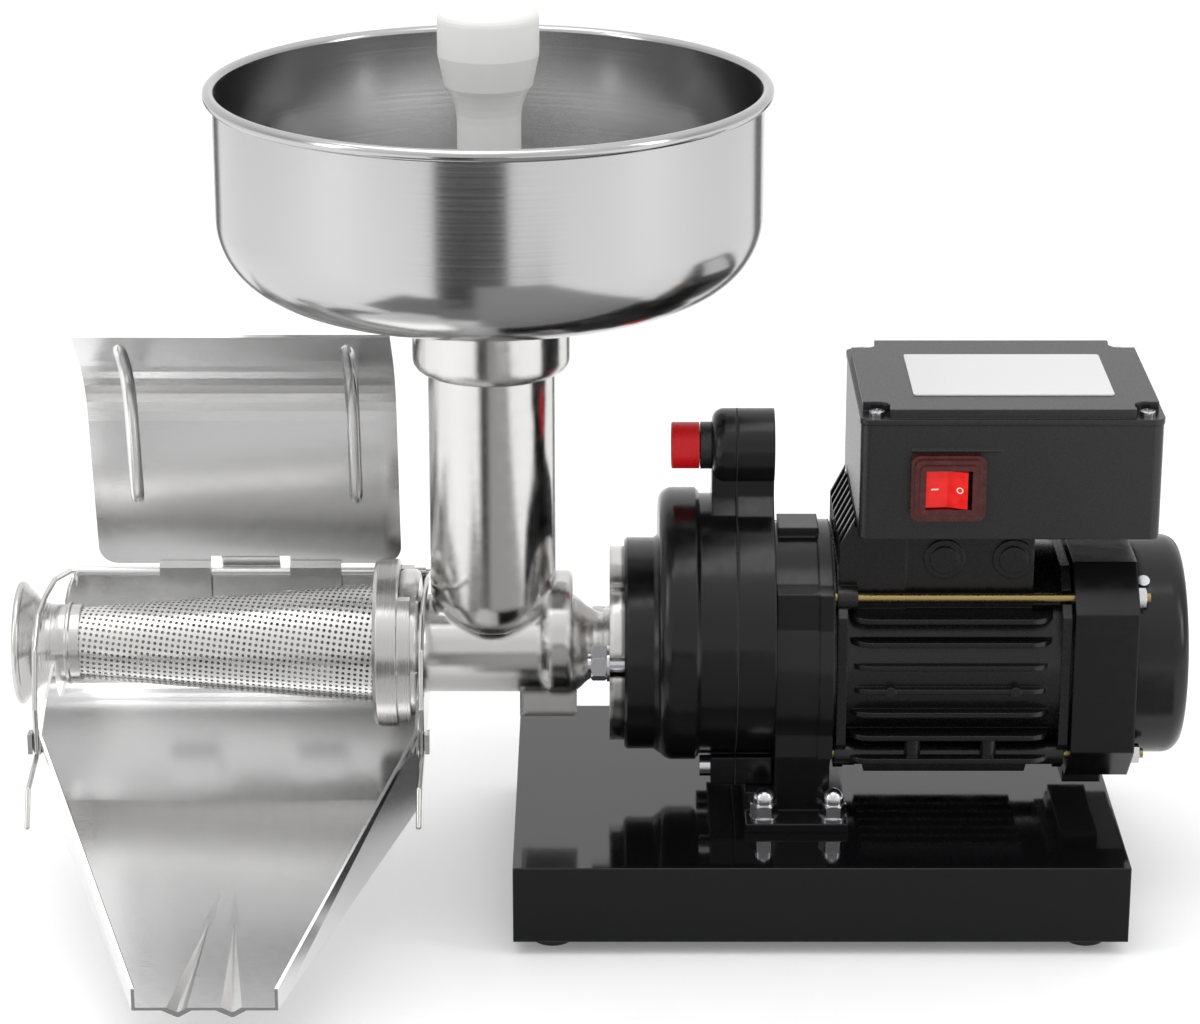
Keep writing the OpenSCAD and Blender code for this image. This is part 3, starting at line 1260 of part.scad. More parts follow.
module rotor_shaft() color([0.68, 0.68, 0.7]) {
    bar_x(fast_x - 0.8, case_end - 4.8, pinion_core_r);
    bar_x(case_end - 4.8, web_x + bearing_w + 0.2, shaft_r);
    bar_x(web_x + bearing_w + 0.2, rear_bearing_x, shaft_r + 1);
    bar_x(rear_bearing_x, cowl_x + 1, shaft_r);
    bar_x(cowl_x + 1, fan_x + 12.5, 6);
}

module motor_pinion() color([0.6, 0.6, 0.62]) difference() {
    spur(fast_x - 0.8, axis_z, face_fast + 1.4, teeth_1, pinion_shift, 90);
    bar_x(fast_x - 2, fast_x + face_fast + 2, pinion_core_r + 0.02);
}

module cooling_fan() color([0.08, 0.08, 0.09]) {
    ring_bar(fan_x - 2, fan_x + 12, 11, 6 + fit_gap);
    ring_bar(fan_x - 1, fan_x + 1, cowl_r - 8, 10.8);
    for (a = [0:40:320]) on_axis(fan_x + 0.8) rotate(a) translate([10, -1, 0]) linear_extrude(10.5) square([cowl_r - 19, 2]);
}

module cowl_screw_points(r)
    for (a = [-144, -36, 36, 144]) translate([cowl_x + 3.4, 0, axis_z]) rotate([a, 0, 0]) translate([0, 0, r]) children();

module fan_cowl() color([0.06, 0.06, 0.065]) difference() {
    on_axis(cowl_x) rotate_extrude() difference() {
        polygon([
            [0, 0], [cowl_r, 0], [cowl_r, cowl_len - 9],
            each arc(cowl_r - 7, cowl_len - 9, 7, 0, 60, 6), [cowl_r - 18, cowl_len - 0.6], [0, cowl_len]
        ]);
        polygon([
            [0, -1], [cowl_r - 1.2, -1], [cowl_r - 1.2, cowl_len - 9],
            each arc(cowl_r - 7, cowl_len - 9, 5.8, 0, 60, 6), [cowl_r - 18, cowl_len - 1.8], [0, cowl_len - 1.2]
        ]);
    }
    for (r = [13, 22]) for (a = [0:360 / (r - 7):359]) on_axis(cowl_end - 6) rotate(a) translate([r, 0, 0])
        cylinder(h = 8, r = 2.8, $fn = 16);
    cowl_screw_points(cowl_r - 3) cylinder(h = 6, r = 1.5 + fit_gap);
}

module cowl_screws() color([0.75, 0.75, 0.76]) cowl_screw_points(cowl_r - 6.5) {
    cylinder(h = 6.6, r = 1.5);
    translate([0, 0, 6.55]) cylinder(h = 1.5, r = 2.6);
}

module tie_rods() color([0.75, 0.68, 0.4]) rods() bar_x(motor_x - 4.3, cowl_x + 5, rod_r);

module tie_rod_nuts() color([0.8, 0.8, 0.81]) rods() difference() {
    on_axis(cowl_x) cylinder(h = 3.2, r = 4.1, $fn = 6);
    bar_x(cowl_x - 1, cowl_x + 5, rod_r + fit_gap);
}

// Terminal box and switch

box_mid = box_x + box_len / 2;
lid_pts = [for (sx = [-1, 1], sy = [-1, 1]) [box_mid + sx * (box_len / 2 - 6.5), sy * (box_depth / 2 - 6.5)]];
lid_screw_r = 1.6;
switch_x = box_x + 35.4;
switch_z = box_z + 22.8;
switch_hole_w = 22.6;
switch_hole_h = 20.6;
gland_x = box_mid + 32;
gland_z = box_z + 20;
gland_r = 8;

module box_shape(grow) translate([box_mid, 0]) rounded_square(box_len + 2 * grow, box_depth + 2 * grow, 4 + grow);

module terminal_box() color([0.07, 0.07, 0.075]) difference() {
    union() {
        translate([0, 0, box_z]) linear_extrude(box_h) box_shape(0);
        translate([switch_x - 15.2, -box_depth / 2 - 0.8, switch_z + 14.6]) cube([36.5, 2, 1]);
    }
    difference() {
        translate([0, 0, box_z + box_wall]) linear_extrude(box_h) box_shape(-box_wall);
        for (p = lid_pts) translate([p[0], p[1], box_z]) cylinder(h = box_h, r = 5);
    }
    for (p = lid_pts) translate([p[0], p[1], box_top - 14]) cylinder(h = 15, r = lid_screw_r + fit_gap);
    translate([switch_x - switch_hole_w / 2, -box_depth / 2 - 1, switch_z - switch_hole_h / 2])
        cube([switch_hole_w, box_wall + 2, switch_hole_h]);
    translate([gland_x, box_depth / 2 + 1, gland_z]) rotate([90, 0, 0]) cylinder(h = box_wall + 2, r = gland_r + fit_gap);
    translate([box_mid - 20, 0, box_z - 1]) cylinder(h = box_wall + 2, r = 9);
}

module terminal_box_lid() color([0.07, 0.07, 0.075]) difference() {
    union() {
        translate([0, 0, box_top]) linear_extrude(2.4) box_shape(0.4);
        translate([0, 0, box_top + 2.3]) linear_extrude(lid_h - 2.3) difference() {
            box_shape(-1.2);
            for (p = lid_pts) translate(p) {
                circle(5.4);
                sx = p[0] > box_mid ? 1 : -1;
                sy = p[1] > 0 ? 1 : -1;
                translate([sx * 5, sy * 2]) square([10, 14], center = true);
                translate([sx * 2, sy * 5]) square([14, 10], center = true);
            }
        }
    }
    translate([0, 0, box_top - 1]) linear_extrude(lid_h - 1) translate([box_mid, 0])
        rounded_square(box_len - 32, box_depth - 32, 4);
    for (p = lid_pts) translate([p[0], p[1], box_top - 1]) cylinder(h = 5, r = lid_screw_r + fit_gap);
}

module lid_screws() color([0.75, 0.75, 0.76]) for (p = lid_pts) translate([p[0], p[1], box_top + 2.4]) {
    translate([0, 0, -14]) cylinder(h = 14.2, r = lid_screw_r);
    difference() {
        cylinder(h = 1.9, r = 3.1);
        for (a = [0, 90]) rotate(a) translate([-0.4, -2, 1]) cube([0.8, 4, 2]);
    }
}

// The blank rating plate
module rating_plate() color([0.93, 0.93, 0.93]) translate([box_mid + 2.1, -1.7, box_top + lid_h])
    linear_extrude(plate_t) rounded_square(plate_len, plate_depth, 1.5);

module terminal_block() color([0.85, 0.84, 0.8]) translate([box_x + 70, -14, box_z + box_wall]) difference() {
    cube([40, 18, 12]);
    for (i = [0:3], y = [4.5, 13.5]) translate([5 + i * 10, y, 5]) cylinder(h = 8, r = 2.4);
    for (i = [0:2]) translate([9.3 + i * 10, -1, 8]) cube([1.4, 20, 5]);
}

can_r = 14;
can_x = box_x + 24;
can_len = 60;
can_y = box_depth / 2 - box_wall - can_r - 7;

module capacitor() color([0.85, 0.85, 0.87]) {
    bar_x(can_x, can_x + can_len, can_r, can_y, box_z + box_wall + can_r + fit_gap);
    for (dy = [-4, 4]) translate([can_x + can_len - 0.1, can_y + dy - 1.5, box_z + box_wall + 11]) cube([5, 3, 6]);
}

rocker_y = -box_depth / 2 + 0.6;

module switch_body() color([0.1, 0.1, 0.1]) difference() {
    union() {
        translate([switch_x, -box_depth / 2 + box_wall + 15, switch_z]) rotate([90, 0, 0])
            linear_extrude(box_wall + 15) square([switch_hole_w - 0.3, switch_hole_h - 0.3], center = true);
        translate([switch_x, -box_depth / 2, switch_z]) rotate([90, 0, 0]) linear_extrude(1.8)
            rounded_square(switch_w - 3.4, switch_h - 3.4, 2);
        for (dx = [-6, 6]) translate([switch_x + dx - 0.4, -box_depth / 2 + box_wall + 14, switch_z - 3]) cube([0.8, 10, 6]);
    }
    translate([switch_x, rocker_y + 5.4, switch_z]) rotate([90, 0, 0])
        linear_extrude(20) square([rocker_w + 1.2, rocker_h + 0.8], center = true);
    translate([switch_x, rocker_y, switch_z]) cylinder(h = rocker_h + 3, r = 1.3, center = true);
}

module switch_boot() color([0.45, 0.06, 0.05]) translate([switch_x, -box_depth / 2, switch_z]) rotate([90, 0, 0]) difference() {
    union() {
        linear_extrude(3.4) rounded_square(switch_w, switch_h, 3.4);
        translate([0, 0, 3.3]) linear_extrude(1.6) rounded_square(switch_w - 3, switch_h - 3, 3);
        translate([0, 0, 4.8]) linear_extrude(1) rounded_square(switch_w - 7, switch_h - 7, 2.4);
    }
    translate([0, 0, -1]) linear_extrude(2.9) rounded_square(switch_w - 3.2, switch_h - 3.2, 2);
    translate([0, 0, -1]) linear_extrude(9) square([rocker_w + 1.4, rocker_h + 1], center = true);
}

// The rocker turns on an upright pin, and its right half is pressed in at rest
module switch_rocker() color([0.85, 0.1, 0.06]) translate([switch_x, rocker_y, switch_z]) {
    rotate([0, 0, -rocker_throw / 2]) translate([0, 0, -rocker_h / 2]) linear_extrude(rocker_h) polygon([
        [-rocker_w / 2 + 0.3, -6.2], [0, -4.2], [rocker_w / 2 - 0.3, -6.2],
        [rocker_w / 2 - 0.5, -1.5], [3, 2.6], [-3, 2.6], [-rocker_w / 2 + 0.5, -1.5]
    ]);
    cylinder(h = rocker_h + 2.6, r = 1.3 - fit_gap, center = true);
}

module cable_gland() color([0.08, 0.08, 0.085]) translate([gland_x, box_depth / 2, gland_z]) rotate([-90, 0, 0]) difference() {
    union() {
        cylinder(h = 6, r = 11.5, $fn = 6);
        translate([0, 0, 5.9]) cylinder(h = 9, r1 = 10, r2 = 8.6);
        translate([0, 0, -box_wall - 6]) cylinder(h = box_wall + 7, r = gland_r);
        translate([0, 0, -box_wall - 4]) cylinder(h = 4, r = 11, $fn = 6);
    }
    translate([0, 0, -20]) cylinder(h = 40, r = 4.5);
}

placed() base_box();
placed() rubber_feet();
placed() foot_screws();
placed() mount_bolts();
placed() mount_washers();
placed() acorn_nuts();
placed() feed_body();
placed() flange_studs();
placed() flange_washers();
placed() flange_nuts();
placed() auger_bush();
placed() hopper_bowl();
placed() hopper_collar();
placed() pusher();
placed() strainer_cone();
placed() strainer_ring();
placed() waste_outlet();
placed() auger();
placed() drip_tray();
placed() tray_bail();
placed() splash_cover();
placed() gearcase_front();
placed() gearcase_rear();
placed() gearcase_gasket();
placed() gearcase_screws();
placed() oil_collar();
placed() oil_cap();
placed() output_shaft();
placed() output_gear();
placed() output_bearings();
placed() output_seal();
placed() layshaft_pinion();
placed() layshaft_gear();
placed() layshaft_bushes();
placed() motor_pinion();
placed() rotor_shaft();
placed() rotor_core();
placed() motor_bearings();
placed() motor_seal();
placed() front_end_shield();
placed() motor_housing();
placed() rear_end_shield();
placed() stator_core();
placed() stator_windings();
placed() tie_rods();
placed() tie_rod_nuts();
placed() cooling_fan();
placed() fan_cowl();
placed() cowl_screws();
placed() terminal_box();
placed() terminal_box_lid();
placed() lid_screws();
placed() rating_plate();
placed() terminal_block();
placed() capacitor();
placed() switch_body();
placed() switch_boot();
placed() switch_rocker();
placed() cable_gland();
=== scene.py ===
import math
import bpy
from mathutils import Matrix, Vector
from mathutils.bvhtree import BVHTree
from mathutils.geometry import delaunay_2d_cdt


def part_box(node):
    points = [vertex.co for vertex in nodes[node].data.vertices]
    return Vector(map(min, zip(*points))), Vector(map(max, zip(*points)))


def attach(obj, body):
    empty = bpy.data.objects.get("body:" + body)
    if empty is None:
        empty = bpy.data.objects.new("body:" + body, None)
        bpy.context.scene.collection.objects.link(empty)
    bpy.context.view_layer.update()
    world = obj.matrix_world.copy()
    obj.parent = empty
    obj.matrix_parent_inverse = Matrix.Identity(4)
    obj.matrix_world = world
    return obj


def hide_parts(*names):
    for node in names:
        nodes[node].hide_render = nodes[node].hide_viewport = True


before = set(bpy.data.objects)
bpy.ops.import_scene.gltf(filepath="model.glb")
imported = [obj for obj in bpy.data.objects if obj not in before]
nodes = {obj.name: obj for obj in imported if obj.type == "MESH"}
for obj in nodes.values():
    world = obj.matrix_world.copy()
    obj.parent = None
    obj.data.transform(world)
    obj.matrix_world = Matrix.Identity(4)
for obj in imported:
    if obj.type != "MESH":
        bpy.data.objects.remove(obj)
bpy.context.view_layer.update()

SHARP_EDGE = math.radians(28)


# Shader nodes that the finishes share

def new_mat(name):
    m = bpy.data.materials.new(name)
    m.use_nodes = True
    nt = m.node_tree
    return m, nt, nt.nodes["Principled BSDF"]


def add(nt, kind, **values):
    n = nt.nodes.new(kind)
    for key, value in values.items():
        setattr(n, key, value)
    return n


def math_node(nt, op, a, b=None):
    n = add(nt, "ShaderNodeMath", operation=op)
    for i, v in enumerate((a, b)):
        if v is None:
            continue
        if isinstance(v, (int, float)):
            n.inputs[i].default_value = v
        else:
            nt.links.new(v, n.inputs[i])
    return n.outputs[0]


def noise(nt, vector, scale, detail=3.0):
    n = add(nt, "ShaderNodeTexNoise")
    n.inputs["Scale"].default_value = scale
    n.inputs["Detail"].default_value = detail
    nt.links.new(vector, n.inputs["Vector"])
    return n.outputs["Fac"]


def map_range(nt, value, lo, hi):
    """Spread the middle of a noise over lo to hi."""
    n = add(nt, "ShaderNodeMapRange")
    n.inputs["From Min"].default_value = 0.3
    n.inputs["From Max"].default_value = 0.7
    n.inputs["To Min"].default_value = lo
    n.inputs["To Max"].default_value = hi
    nt.links.new(value, n.inputs["Value"])
    return n.outputs["Result"]


def object_coord(nt):
    return add(nt, "ShaderNodeTexCoord").outputs["Object"]


def two_tone(nt, b, factor, first, second):
    """Base colour that moves between two colours with a noise."""
    mix = add(nt, "ShaderNodeMix", data_type="RGBA")
    mix.inputs["A"].default_value = (*first, 1)
    mix.inputs["B"].default_value = (*second, 1)
    nt.links.new(factor, mix.inputs["Factor"])
    nt.links.new(mix.outputs["Result"], b.inputs["Base Color"])
    return mix.outputs["Result"]


def around(nt, axis, centre):
    """(radius, place along the axis) as a vector, for the marks that turning or spinning leaves."""
    sep = add(nt, "ShaderNodeSeparateXYZ")
    nt.links.new(object_coord(nt), sep.inputs["Vector"])
    across = [math_node(nt, "SUBTRACT", sep.outputs[k], centre["XYZ".index(k)]) for k in "XYZ" if k != axis]
    squares = [math_node(nt, "MULTIPLY", q, q) for q in across]
    com = add(nt, "ShaderNodeCombineXYZ")
    nt.links.new(math_node(nt, "SQRT", math_node(nt, "ADD", *squares)), com.inputs["X"])
    nt.links.new(sep.outputs[axis], com.inputs["Y"])
    return com.outputs["Vector"]


def along(nt, stretch):
    """Object coordinates stretched along each axis, for grain that runs one way."""
    mp = add(nt, "ShaderNodeMapping")
    mp.inputs["Scale"].default_value = stretch
    nt.links.new(object_coord(nt), mp.inputs["Vector"])
    return mp.outputs["Vector"]


def finish_mat(name, color, rough, spread, metal=0.0, coat=0.0, grain=900.0, bump=0.02, tint=0.06,
               vector=None, edge=0.0, patch=18.0, shine=0.5):
    """A finish with grain in its roughness, patches in its colour and a grained surface.

    rough plus or minus spread is its roughness, tint the share by which its colour varies, grain and patch
    the scales of the two noises, and edge the radius that its edges are rounded to in the light.
    """
    m, nt, b = new_mat(name)
    v = vector(nt) if vector else object_coord(nt)
    f = noise(nt, v, grain)
    coarse = noise(nt, object_coord(nt), patch, 2.0)
    nt.links.new(map_range(nt, f, max(rough - spread, 0.02), rough + spread), b.inputs["Roughness"])
    two_tone(nt, b, coarse, [c * (1 - tint) for c in color], [min(c * (1 + tint), 1) for c in color])
    b.inputs["Metallic"].default_value = metal
    b.inputs["Specular IOR Level"].default_value = shine
    if coat:
        b.inputs["Coat Weight"].default_value = coat
        b.inputs["Coat Roughness"].default_value = 0.06
    bp = add(nt, "ShaderNodeBump")
    bp.inputs["Strength"].default_value = bump
    bp.inputs["Distance"].default_value = 0.0004
    nt.links.new(f, bp.inputs["Height"])
    if edge:
        bv = add(nt, "ShaderNodeBevel", samples=4)
        bv.inputs["Radius"].default_value = edge
        nt.links.new(bv.outputs["Normal"], bp.inputs["Normal"])
    nt.links.new(bp.outputs["Normal"], b.inputs["Normal"])
    return m


def box_centre(name):
    a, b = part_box(name)
    return (a + b) / 2


bowl_c = box_centre("hopper_collar")
axis_c = box_centre("output_shaft")
axis_c = Vector((axis_c.x, axis_c.y, box_centre("rotor_core").z))



def spun_bowl(nt):
    return around(nt, "Z", bowl_c)


def turned_x(nt):
    return around(nt, "X", axis_c)


M = {
    "bowl": finish_mat("bowl_steel", (0.50, 0.50, 0.50), 0.17, 0.03, 1.0, grain=900, bump=0.02, tint=0.01,
                       vector=spun_bowl),
    "polished": finish_mat("polished_casting", (0.66, 0.65, 0.64), 0.15, 0.04, 1.0, grain=200, bump=0.06,
                           tint=0.03, edge=0.0035),
    "turned": finish_mat("turned_casting", (0.62, 0.61, 0.60), 0.24, 0.05, 1.0, grain=1600, bump=0.08,
                         tint=0.03, vector=turned_x, edge=0.0005),
    "sheet": finish_mat("rolled_steel", (0.80, 0.80, 0.80), 0.20, 0.03, 1.0, grain=260, bump=0.03, tint=0.015,
                        vector=lambda nt: along(nt, (1, 5, 5)), patch=9.0),
    "perforated": finish_mat("perforated_steel", (0.76, 0.755, 0.75), 0.26, 0.05, 1.0, grain=700, bump=0.03,
                             tint=0.01),
    "zinc": finish_mat("zinc_plate", (0.66, 0.66, 0.68), 0.16, 0.05, 1.0, grain=900, bump=0.04, edge=0.0003),
    "yellow_zinc": finish_mat("yellow_zinc_plate", (0.38, 0.29, 0.13), 0.30, 0.08, 1.0, grain=900, bump=0.06),
    "wire": finish_mat("drawn_wire", (0.62, 0.61, 0.60), 0.20, 0.05, 1.0, grain=1200, bump=0.04),
    "black_gloss": finish_mat("black_gloss_paint", (0.0045, 0.0045, 0.005), 0.20, 0.05, grain=240, bump=0.08,
                              tint=0.2, edge=0.0012, shine=0.38),
    "black_motor": finish_mat("black_motor_paint", (0.005, 0.005, 0.0055), 0.26, 0.06, grain=520, bump=0.10,
                              tint=0.2, edge=0.0008, shine=0.42),
    "black_base": finish_mat("black_base_coat", (0.004, 0.004, 0.0045), 0.07, 0.02, grain=90, bump=0.02,
                             tint=0.2, edge=0.0010),
    "black_plastic": finish_mat("black_plastic", (0.010, 0.010, 0.011), 0.30, 0.05, grain=1400, bump=0.06,
                                tint=0.15, edge=0.0010),
    "white": finish_mat("white_plastic", (0.80, 0.80, 0.79), 0.36, 0.05, grain=600, bump=0.04, tint=0.015),
    "label": finish_mat("blank_label", (0.68, 0.68, 0.68), 0.42, 0.05, grain=1600, bump=0.05, tint=0.01),
    "ivory": finish_mat("ivory_plastic", (0.78, 0.75, 0.66), 0.36, 0.06, grain=600, bump=0.05, tint=0.03),
    "rubber": finish_mat("black_rubber", (0.012, 0.012, 0.012), 0.62, 0.10, grain=1200, bump=0.2, tint=0.2),
    "seal": finish_mat("brown_rubber", (0.07, 0.04, 0.03), 0.5, 0.1, grain=900, bump=0.1),
    "gasket": finish_mat("fibre_gasket", (0.012, 0.011, 0.010), 0.75, 0.1, grain=1500, bump=0.3),
    "gear": finish_mat("oiled_steel", (0.42, 0.41, 0.40), 0.22, 0.08, 1.0, grain=1300, bump=0.1, edge=0.0003),
    "bronze": finish_mat("sintered_bronze", (0.48, 0.33, 0.16), 0.35, 0.1, 1.0, grain=1500, bump=0.15),
    "bearing": finish_mat("ground_steel", (0.55, 0.55, 0.56), 0.16, 0.05, 1.0, grain=1500, bump=0.05,
                          vector=turned_x),
    "laminated": finish_mat("electrical_sheet", (0.30, 0.30, 0.31), 0.45, 0.1, 1.0, grain=2200, bump=0.5,
                            vector=lambda nt: along(nt, (1, 0.02, 0.02))),
    "copper": finish_mat("enamelled_copper", (0.50, 0.19, 0.07), 0.25, 0.08, 0.7, coat=0.5, grain=1500,
                         bump=0.5, vector=lambda nt: along(nt, (0.3, 1, 1))),
    "can": finish_mat("aluminium_can", (0.66, 0.66, 0.68), 0.28, 0.06, 1.0, grain=900, bump=0.05),
    "pale": finish_mat("pale_plastic", (0.68, 0.66, 0.60), 0.4, 0.06, grain=700, bump=0.06),
    "red_cap": finish_mat("red_cap_plastic", (0.52, 0.006, 0.010), 0.32, 0.06, grain=700, bump=0.06,
                          tint=0.08, edge=0.0006, shine=0.3),
    "mark": finish_mat("switch_mark", (0.95, 0.62, 0.56), 0.4, 0.05, grain=900, bump=0.03, tint=0.02),
}


def glow_red():
    """The translucent rocker, lit from inside by its lamp."""
    m, nt, b = new_mat("rocker_red")
    f = noise(nt, object_coord(nt), 260.0, 2.0)
    nt.links.new(map_range(nt, f, 0.08, 0.2), b.inputs["Roughness"])
    color = two_tone(nt, b, f, (0.55, 0.006, 0.004), (0.80, 0.012, 0.008))
    nt.links.new(color, b.inputs["Emission Color"])
    b.inputs["Emission Strength"].default_value = 0.16
    b.inputs["Coat Weight"].default_value = 0.3
    return m


def boot_red():
    """The clear dark red frame that seals the switch."""
    m, nt, b = new_mat("boot_red")
    f = noise(nt, object_coord(nt), 300.0, 2.0)
    nt.links.new(map_range(nt, f, 0.12, 0.3), b.inputs["Roughness"])
    two_tone(nt, b, f, (0.035, 0.002, 0.002), (0.11, 0.006, 0.006))
    b.inputs["Coat Weight"].default_value = 0.5
    b.inputs["Transmission Weight"].default_value = 0.1
    return m


M["rocker"] = glow_red()
M["boot"] = boot_red()

FINISH = {
    "base_box": "black_base", "rubber_feet": "rubber", "foot_screws": "zinc", "mount_bolts": "zinc",
    "mount_washers": "zinc", "acorn_nuts": "zinc", "feed_body": "polished", "flange_studs": "zinc",
    "flange_washers": "zinc", "flange_nuts": "zinc", "auger_bush": "white", "hopper_bowl": "bowl",
    "hopper_collar": "polished", "pusher": "white", "strainer_cone": "turned", "strainer_ring": "turned",
    "waste_outlet": "turned", "auger": "ivory", "drip_tray": "sheet", "tray_bail": "wire",
    "splash_cover": "sheet", "gearcase_front": "black_gloss", "gearcase_rear": "black_gloss",
    "gearcase_gasket": "gasket", "gearcase_screws": "zinc", "oil_collar": "black_plastic",
    "oil_cap": "red_cap",
    "output_shaft": "gear", "output_gear": "gear", "output_bearings": "bearing", "output_seal": "seal",
    "layshaft_pinion": "gear", "layshaft_gear": "bronze", "layshaft_bushes": "bronze",
    "motor_pinion": "gear", "rotor_shaft": "gear", "rotor_core": "laminated", "motor_bearings": "bearing",
    "motor_seal": "seal", "front_end_shield": "black_gloss", "motor_housing": "black_motor",
    "rear_end_shield": "black_gloss", "stator_core": "laminated", "stator_windings": "copper",
    "tie_rods": "yellow_zinc", "tie_rod_nuts": "zinc", "cooling_fan": "black_plastic",
    "fan_cowl": "black_gloss",
    "cowl_screws": "zinc", "terminal_box": "black_plastic", "terminal_box_lid": "black_plastic",
    "lid_screws": "zinc", "terminal_block": "pale", "capacitor": "can", "switch_body": "black_plastic",
    "switch_boot": "boot", "switch_rocker": "rocker", "cable_gland": "black_plastic",
    "rating_plate": "label",
}


def shade(o):
    for p in o.data.polygons:
        p.use_smooth = True
    o.data.set_sharp_from_angle(angle=SHARP_EDGE)


for name, o in nodes.items():
    o.data.materials.clear()
    o.data.materials.append(M[FINISH[name]])
    shade(o)


# Meshes that the scene makes itself

def mesh_object(name, verts, faces, material):
    me = bpy.data.meshes.new(name)
    me.from_pydata(verts, [], faces)
    me.validate()
    o = bpy.data.objects.new(name, me)
    bpy.context.scene.collection.objects.link(o)
    me.materials.append(material)
    return o


def lathe(profiles, steps, place):
    """Closed outlines of (along, radius) turned once round; place gives a point's coordinates."""
    verts, faces = [], []
    for profile in profiles:
        first, n = len(verts), len(profile)
        for k in range(steps):
            t = 2 * math.pi * k / steps
            verts += [place(a, r, t) for a, r in profile]
        for k in range(steps):
            here, there = first + k * n, first + (k + 1) % steps * n
            for i in range(n):
                j = (i + 1) % n
                faces.append((here + i, here + j, there + j, there + i))
    return verts, faces


def arc(cx, cy, r, a0, a1, n):
    """n + 1 points from the angle a0 to a1, in degrees."""
    turns = [math.radians(a0 + (a1 - a0) * i / n) for i in range(n + 1)]
    return [(cx + r * math.cos(t), cy + r * math.sin(t)) for t in turns]


# The spun bowl, turned again with finer steps so that its mirror shows no facets

bowl_lo, bowl_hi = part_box("hopper_bowl")
bowl_sheet, bowl_corner = 0.0012, 0.029
corner_steps, bead_steps, bowl_steps = 28, 35, 240
below_bead = bowl_hi.z - 0.015
from_middle = [(math.hypot(v.co.x - bowl_c.x, v.co.y - bowl_c.y), v.co.z)
               for v in nodes["hopper_bowl"].data.vertices]
rim_r = (bowl_hi.x - bowl_lo.x) / 2
bowl_hole = min(r for r, z in from_middle)
wall_r = max(r for r, z in from_middle if z < below_bead)
bead_r = (rim_r - wall_r + bowl_sheet) / 2
wall_top = bowl_hi.z - bead_r
corner_r, corner_z = wall_r - bowl_sheet - bowl_corner, bowl_lo.z + bowl_corner + bowl_sheet
sheet_line = [
    (bowl_hole, bowl_lo.z),
    *arc(corner_r, corner_z, bowl_corner + bowl_sheet, -90, 0, corner_steps),
    (wall_r, wall_top), (wall_r - bowl_sheet, wall_top),
    *arc(corner_r, corner_z, bowl_corner, 0, -90, corner_steps),
    (bowl_hole, bowl_lo.z + bowl_sheet),
]
bead_line = arc(rim_r - bead_r, wall_top, bead_r, 5, 355, bead_steps)
bowl_profiles = [[(z, r) for r, z in reversed(line)] for line in (sheet_line, bead_line)]
bowl_mesh = lathe(bowl_profiles, bowl_steps,
                  lambda z, r, t: (bowl_c.x + r * math.cos(t), bowl_c.y + r * math.sin(t), z))
bowl_skin = mesh_object("bowl_spun", *bowl_mesh, M["bowl"])
shade(bowl_skin)
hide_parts("hopper_bowl")
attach(bowl_skin, "hopper")


# The strainer's sheet in place of the CAD cone, whose holes are coarse: punched flat on a square grid,
# then rolled, with its seam at the back

cone_sheet = 0.0008
hole_pitch, hole_r, hole_sides = 0.0025, 0.00072, 8
hole_slope = math.radians(6)
plain_edge, plain_seam = 0.0016, 0.0012
cone_steps, seam_steps = 128, 40
near_face = 0.0001


def cone_radius(x_from, x_to):
    """The cone's outer radius between two places along its axis."""
    best = 0.0
    for v in nodes["strainer_cone"].data.vertices:
        if x_from <= v.co.x <= x_to:
            best = max(best, math.hypot(v.co.y - axis_c.y, v.co.z - axis_c.z))
    return best


cone_lo, cone_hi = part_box("strainer_cone")
lip_r = cone_radius(cone_hi.x - near_face, cone_hi.x + near_face)
narrow_r = cone_radius(cone_lo.x - near_face, cone_lo.x + near_face)
sheet_end = cone_hi.x - cone_sheet
wide_r = cone_radius(cone_hi.x - 0.006, sheet_end - near_face)
cone_half_angle = math.atan((wide_r - narrow_r) / (sheet_end - cone_lo.x))


def sheet_outline(near, far, half_open):
    """The sheet's edge once round, as (distance from the apex, angle)."""
    turns = [half_open * (2 * i / cone_steps - 1) for i in range(cone_steps + 1)]
    seam = [near + (far - near) * i / seam_steps for i in range(1, seam_steps)]
    return ([(far, a) for a in turns] + [(d, half_open) for d in reversed(seam)]
            + [(near, a) for a in reversed(turns)] + [(d, -half_open) for d in seam])


def hole_outlines(near, far, half_open):
    """The holes of a square grid that lie clear of the sheet's edges, each as (distance, angle) points."""
    cells = int(far / hole_pitch) + 2
    for i in range(cells):
        for j in range(-cells // 2, cells // 2):
            u, v = (i + 0.5) * hole_pitch, (j + 0.5) * hole_pitch
            d, a = math.hypot(u, v), math.atan2(v, u) - hole_slope
            if not near + plain_edge < d < far - plain_edge or d * (half_open - abs(a)) < plain_seam:
                continue
            hole = []
            for k in range(hole_sides):
                t = 2 * math.pi * (k + 0.5) / hole_sides
                x, y = d * math.cos(a) + hole_r * math.cos(t), d * math.sin(a) + hole_r * math.sin(t)
                hole.append((math.hypot(x, y), math.atan2(y, x)))
            yield hole


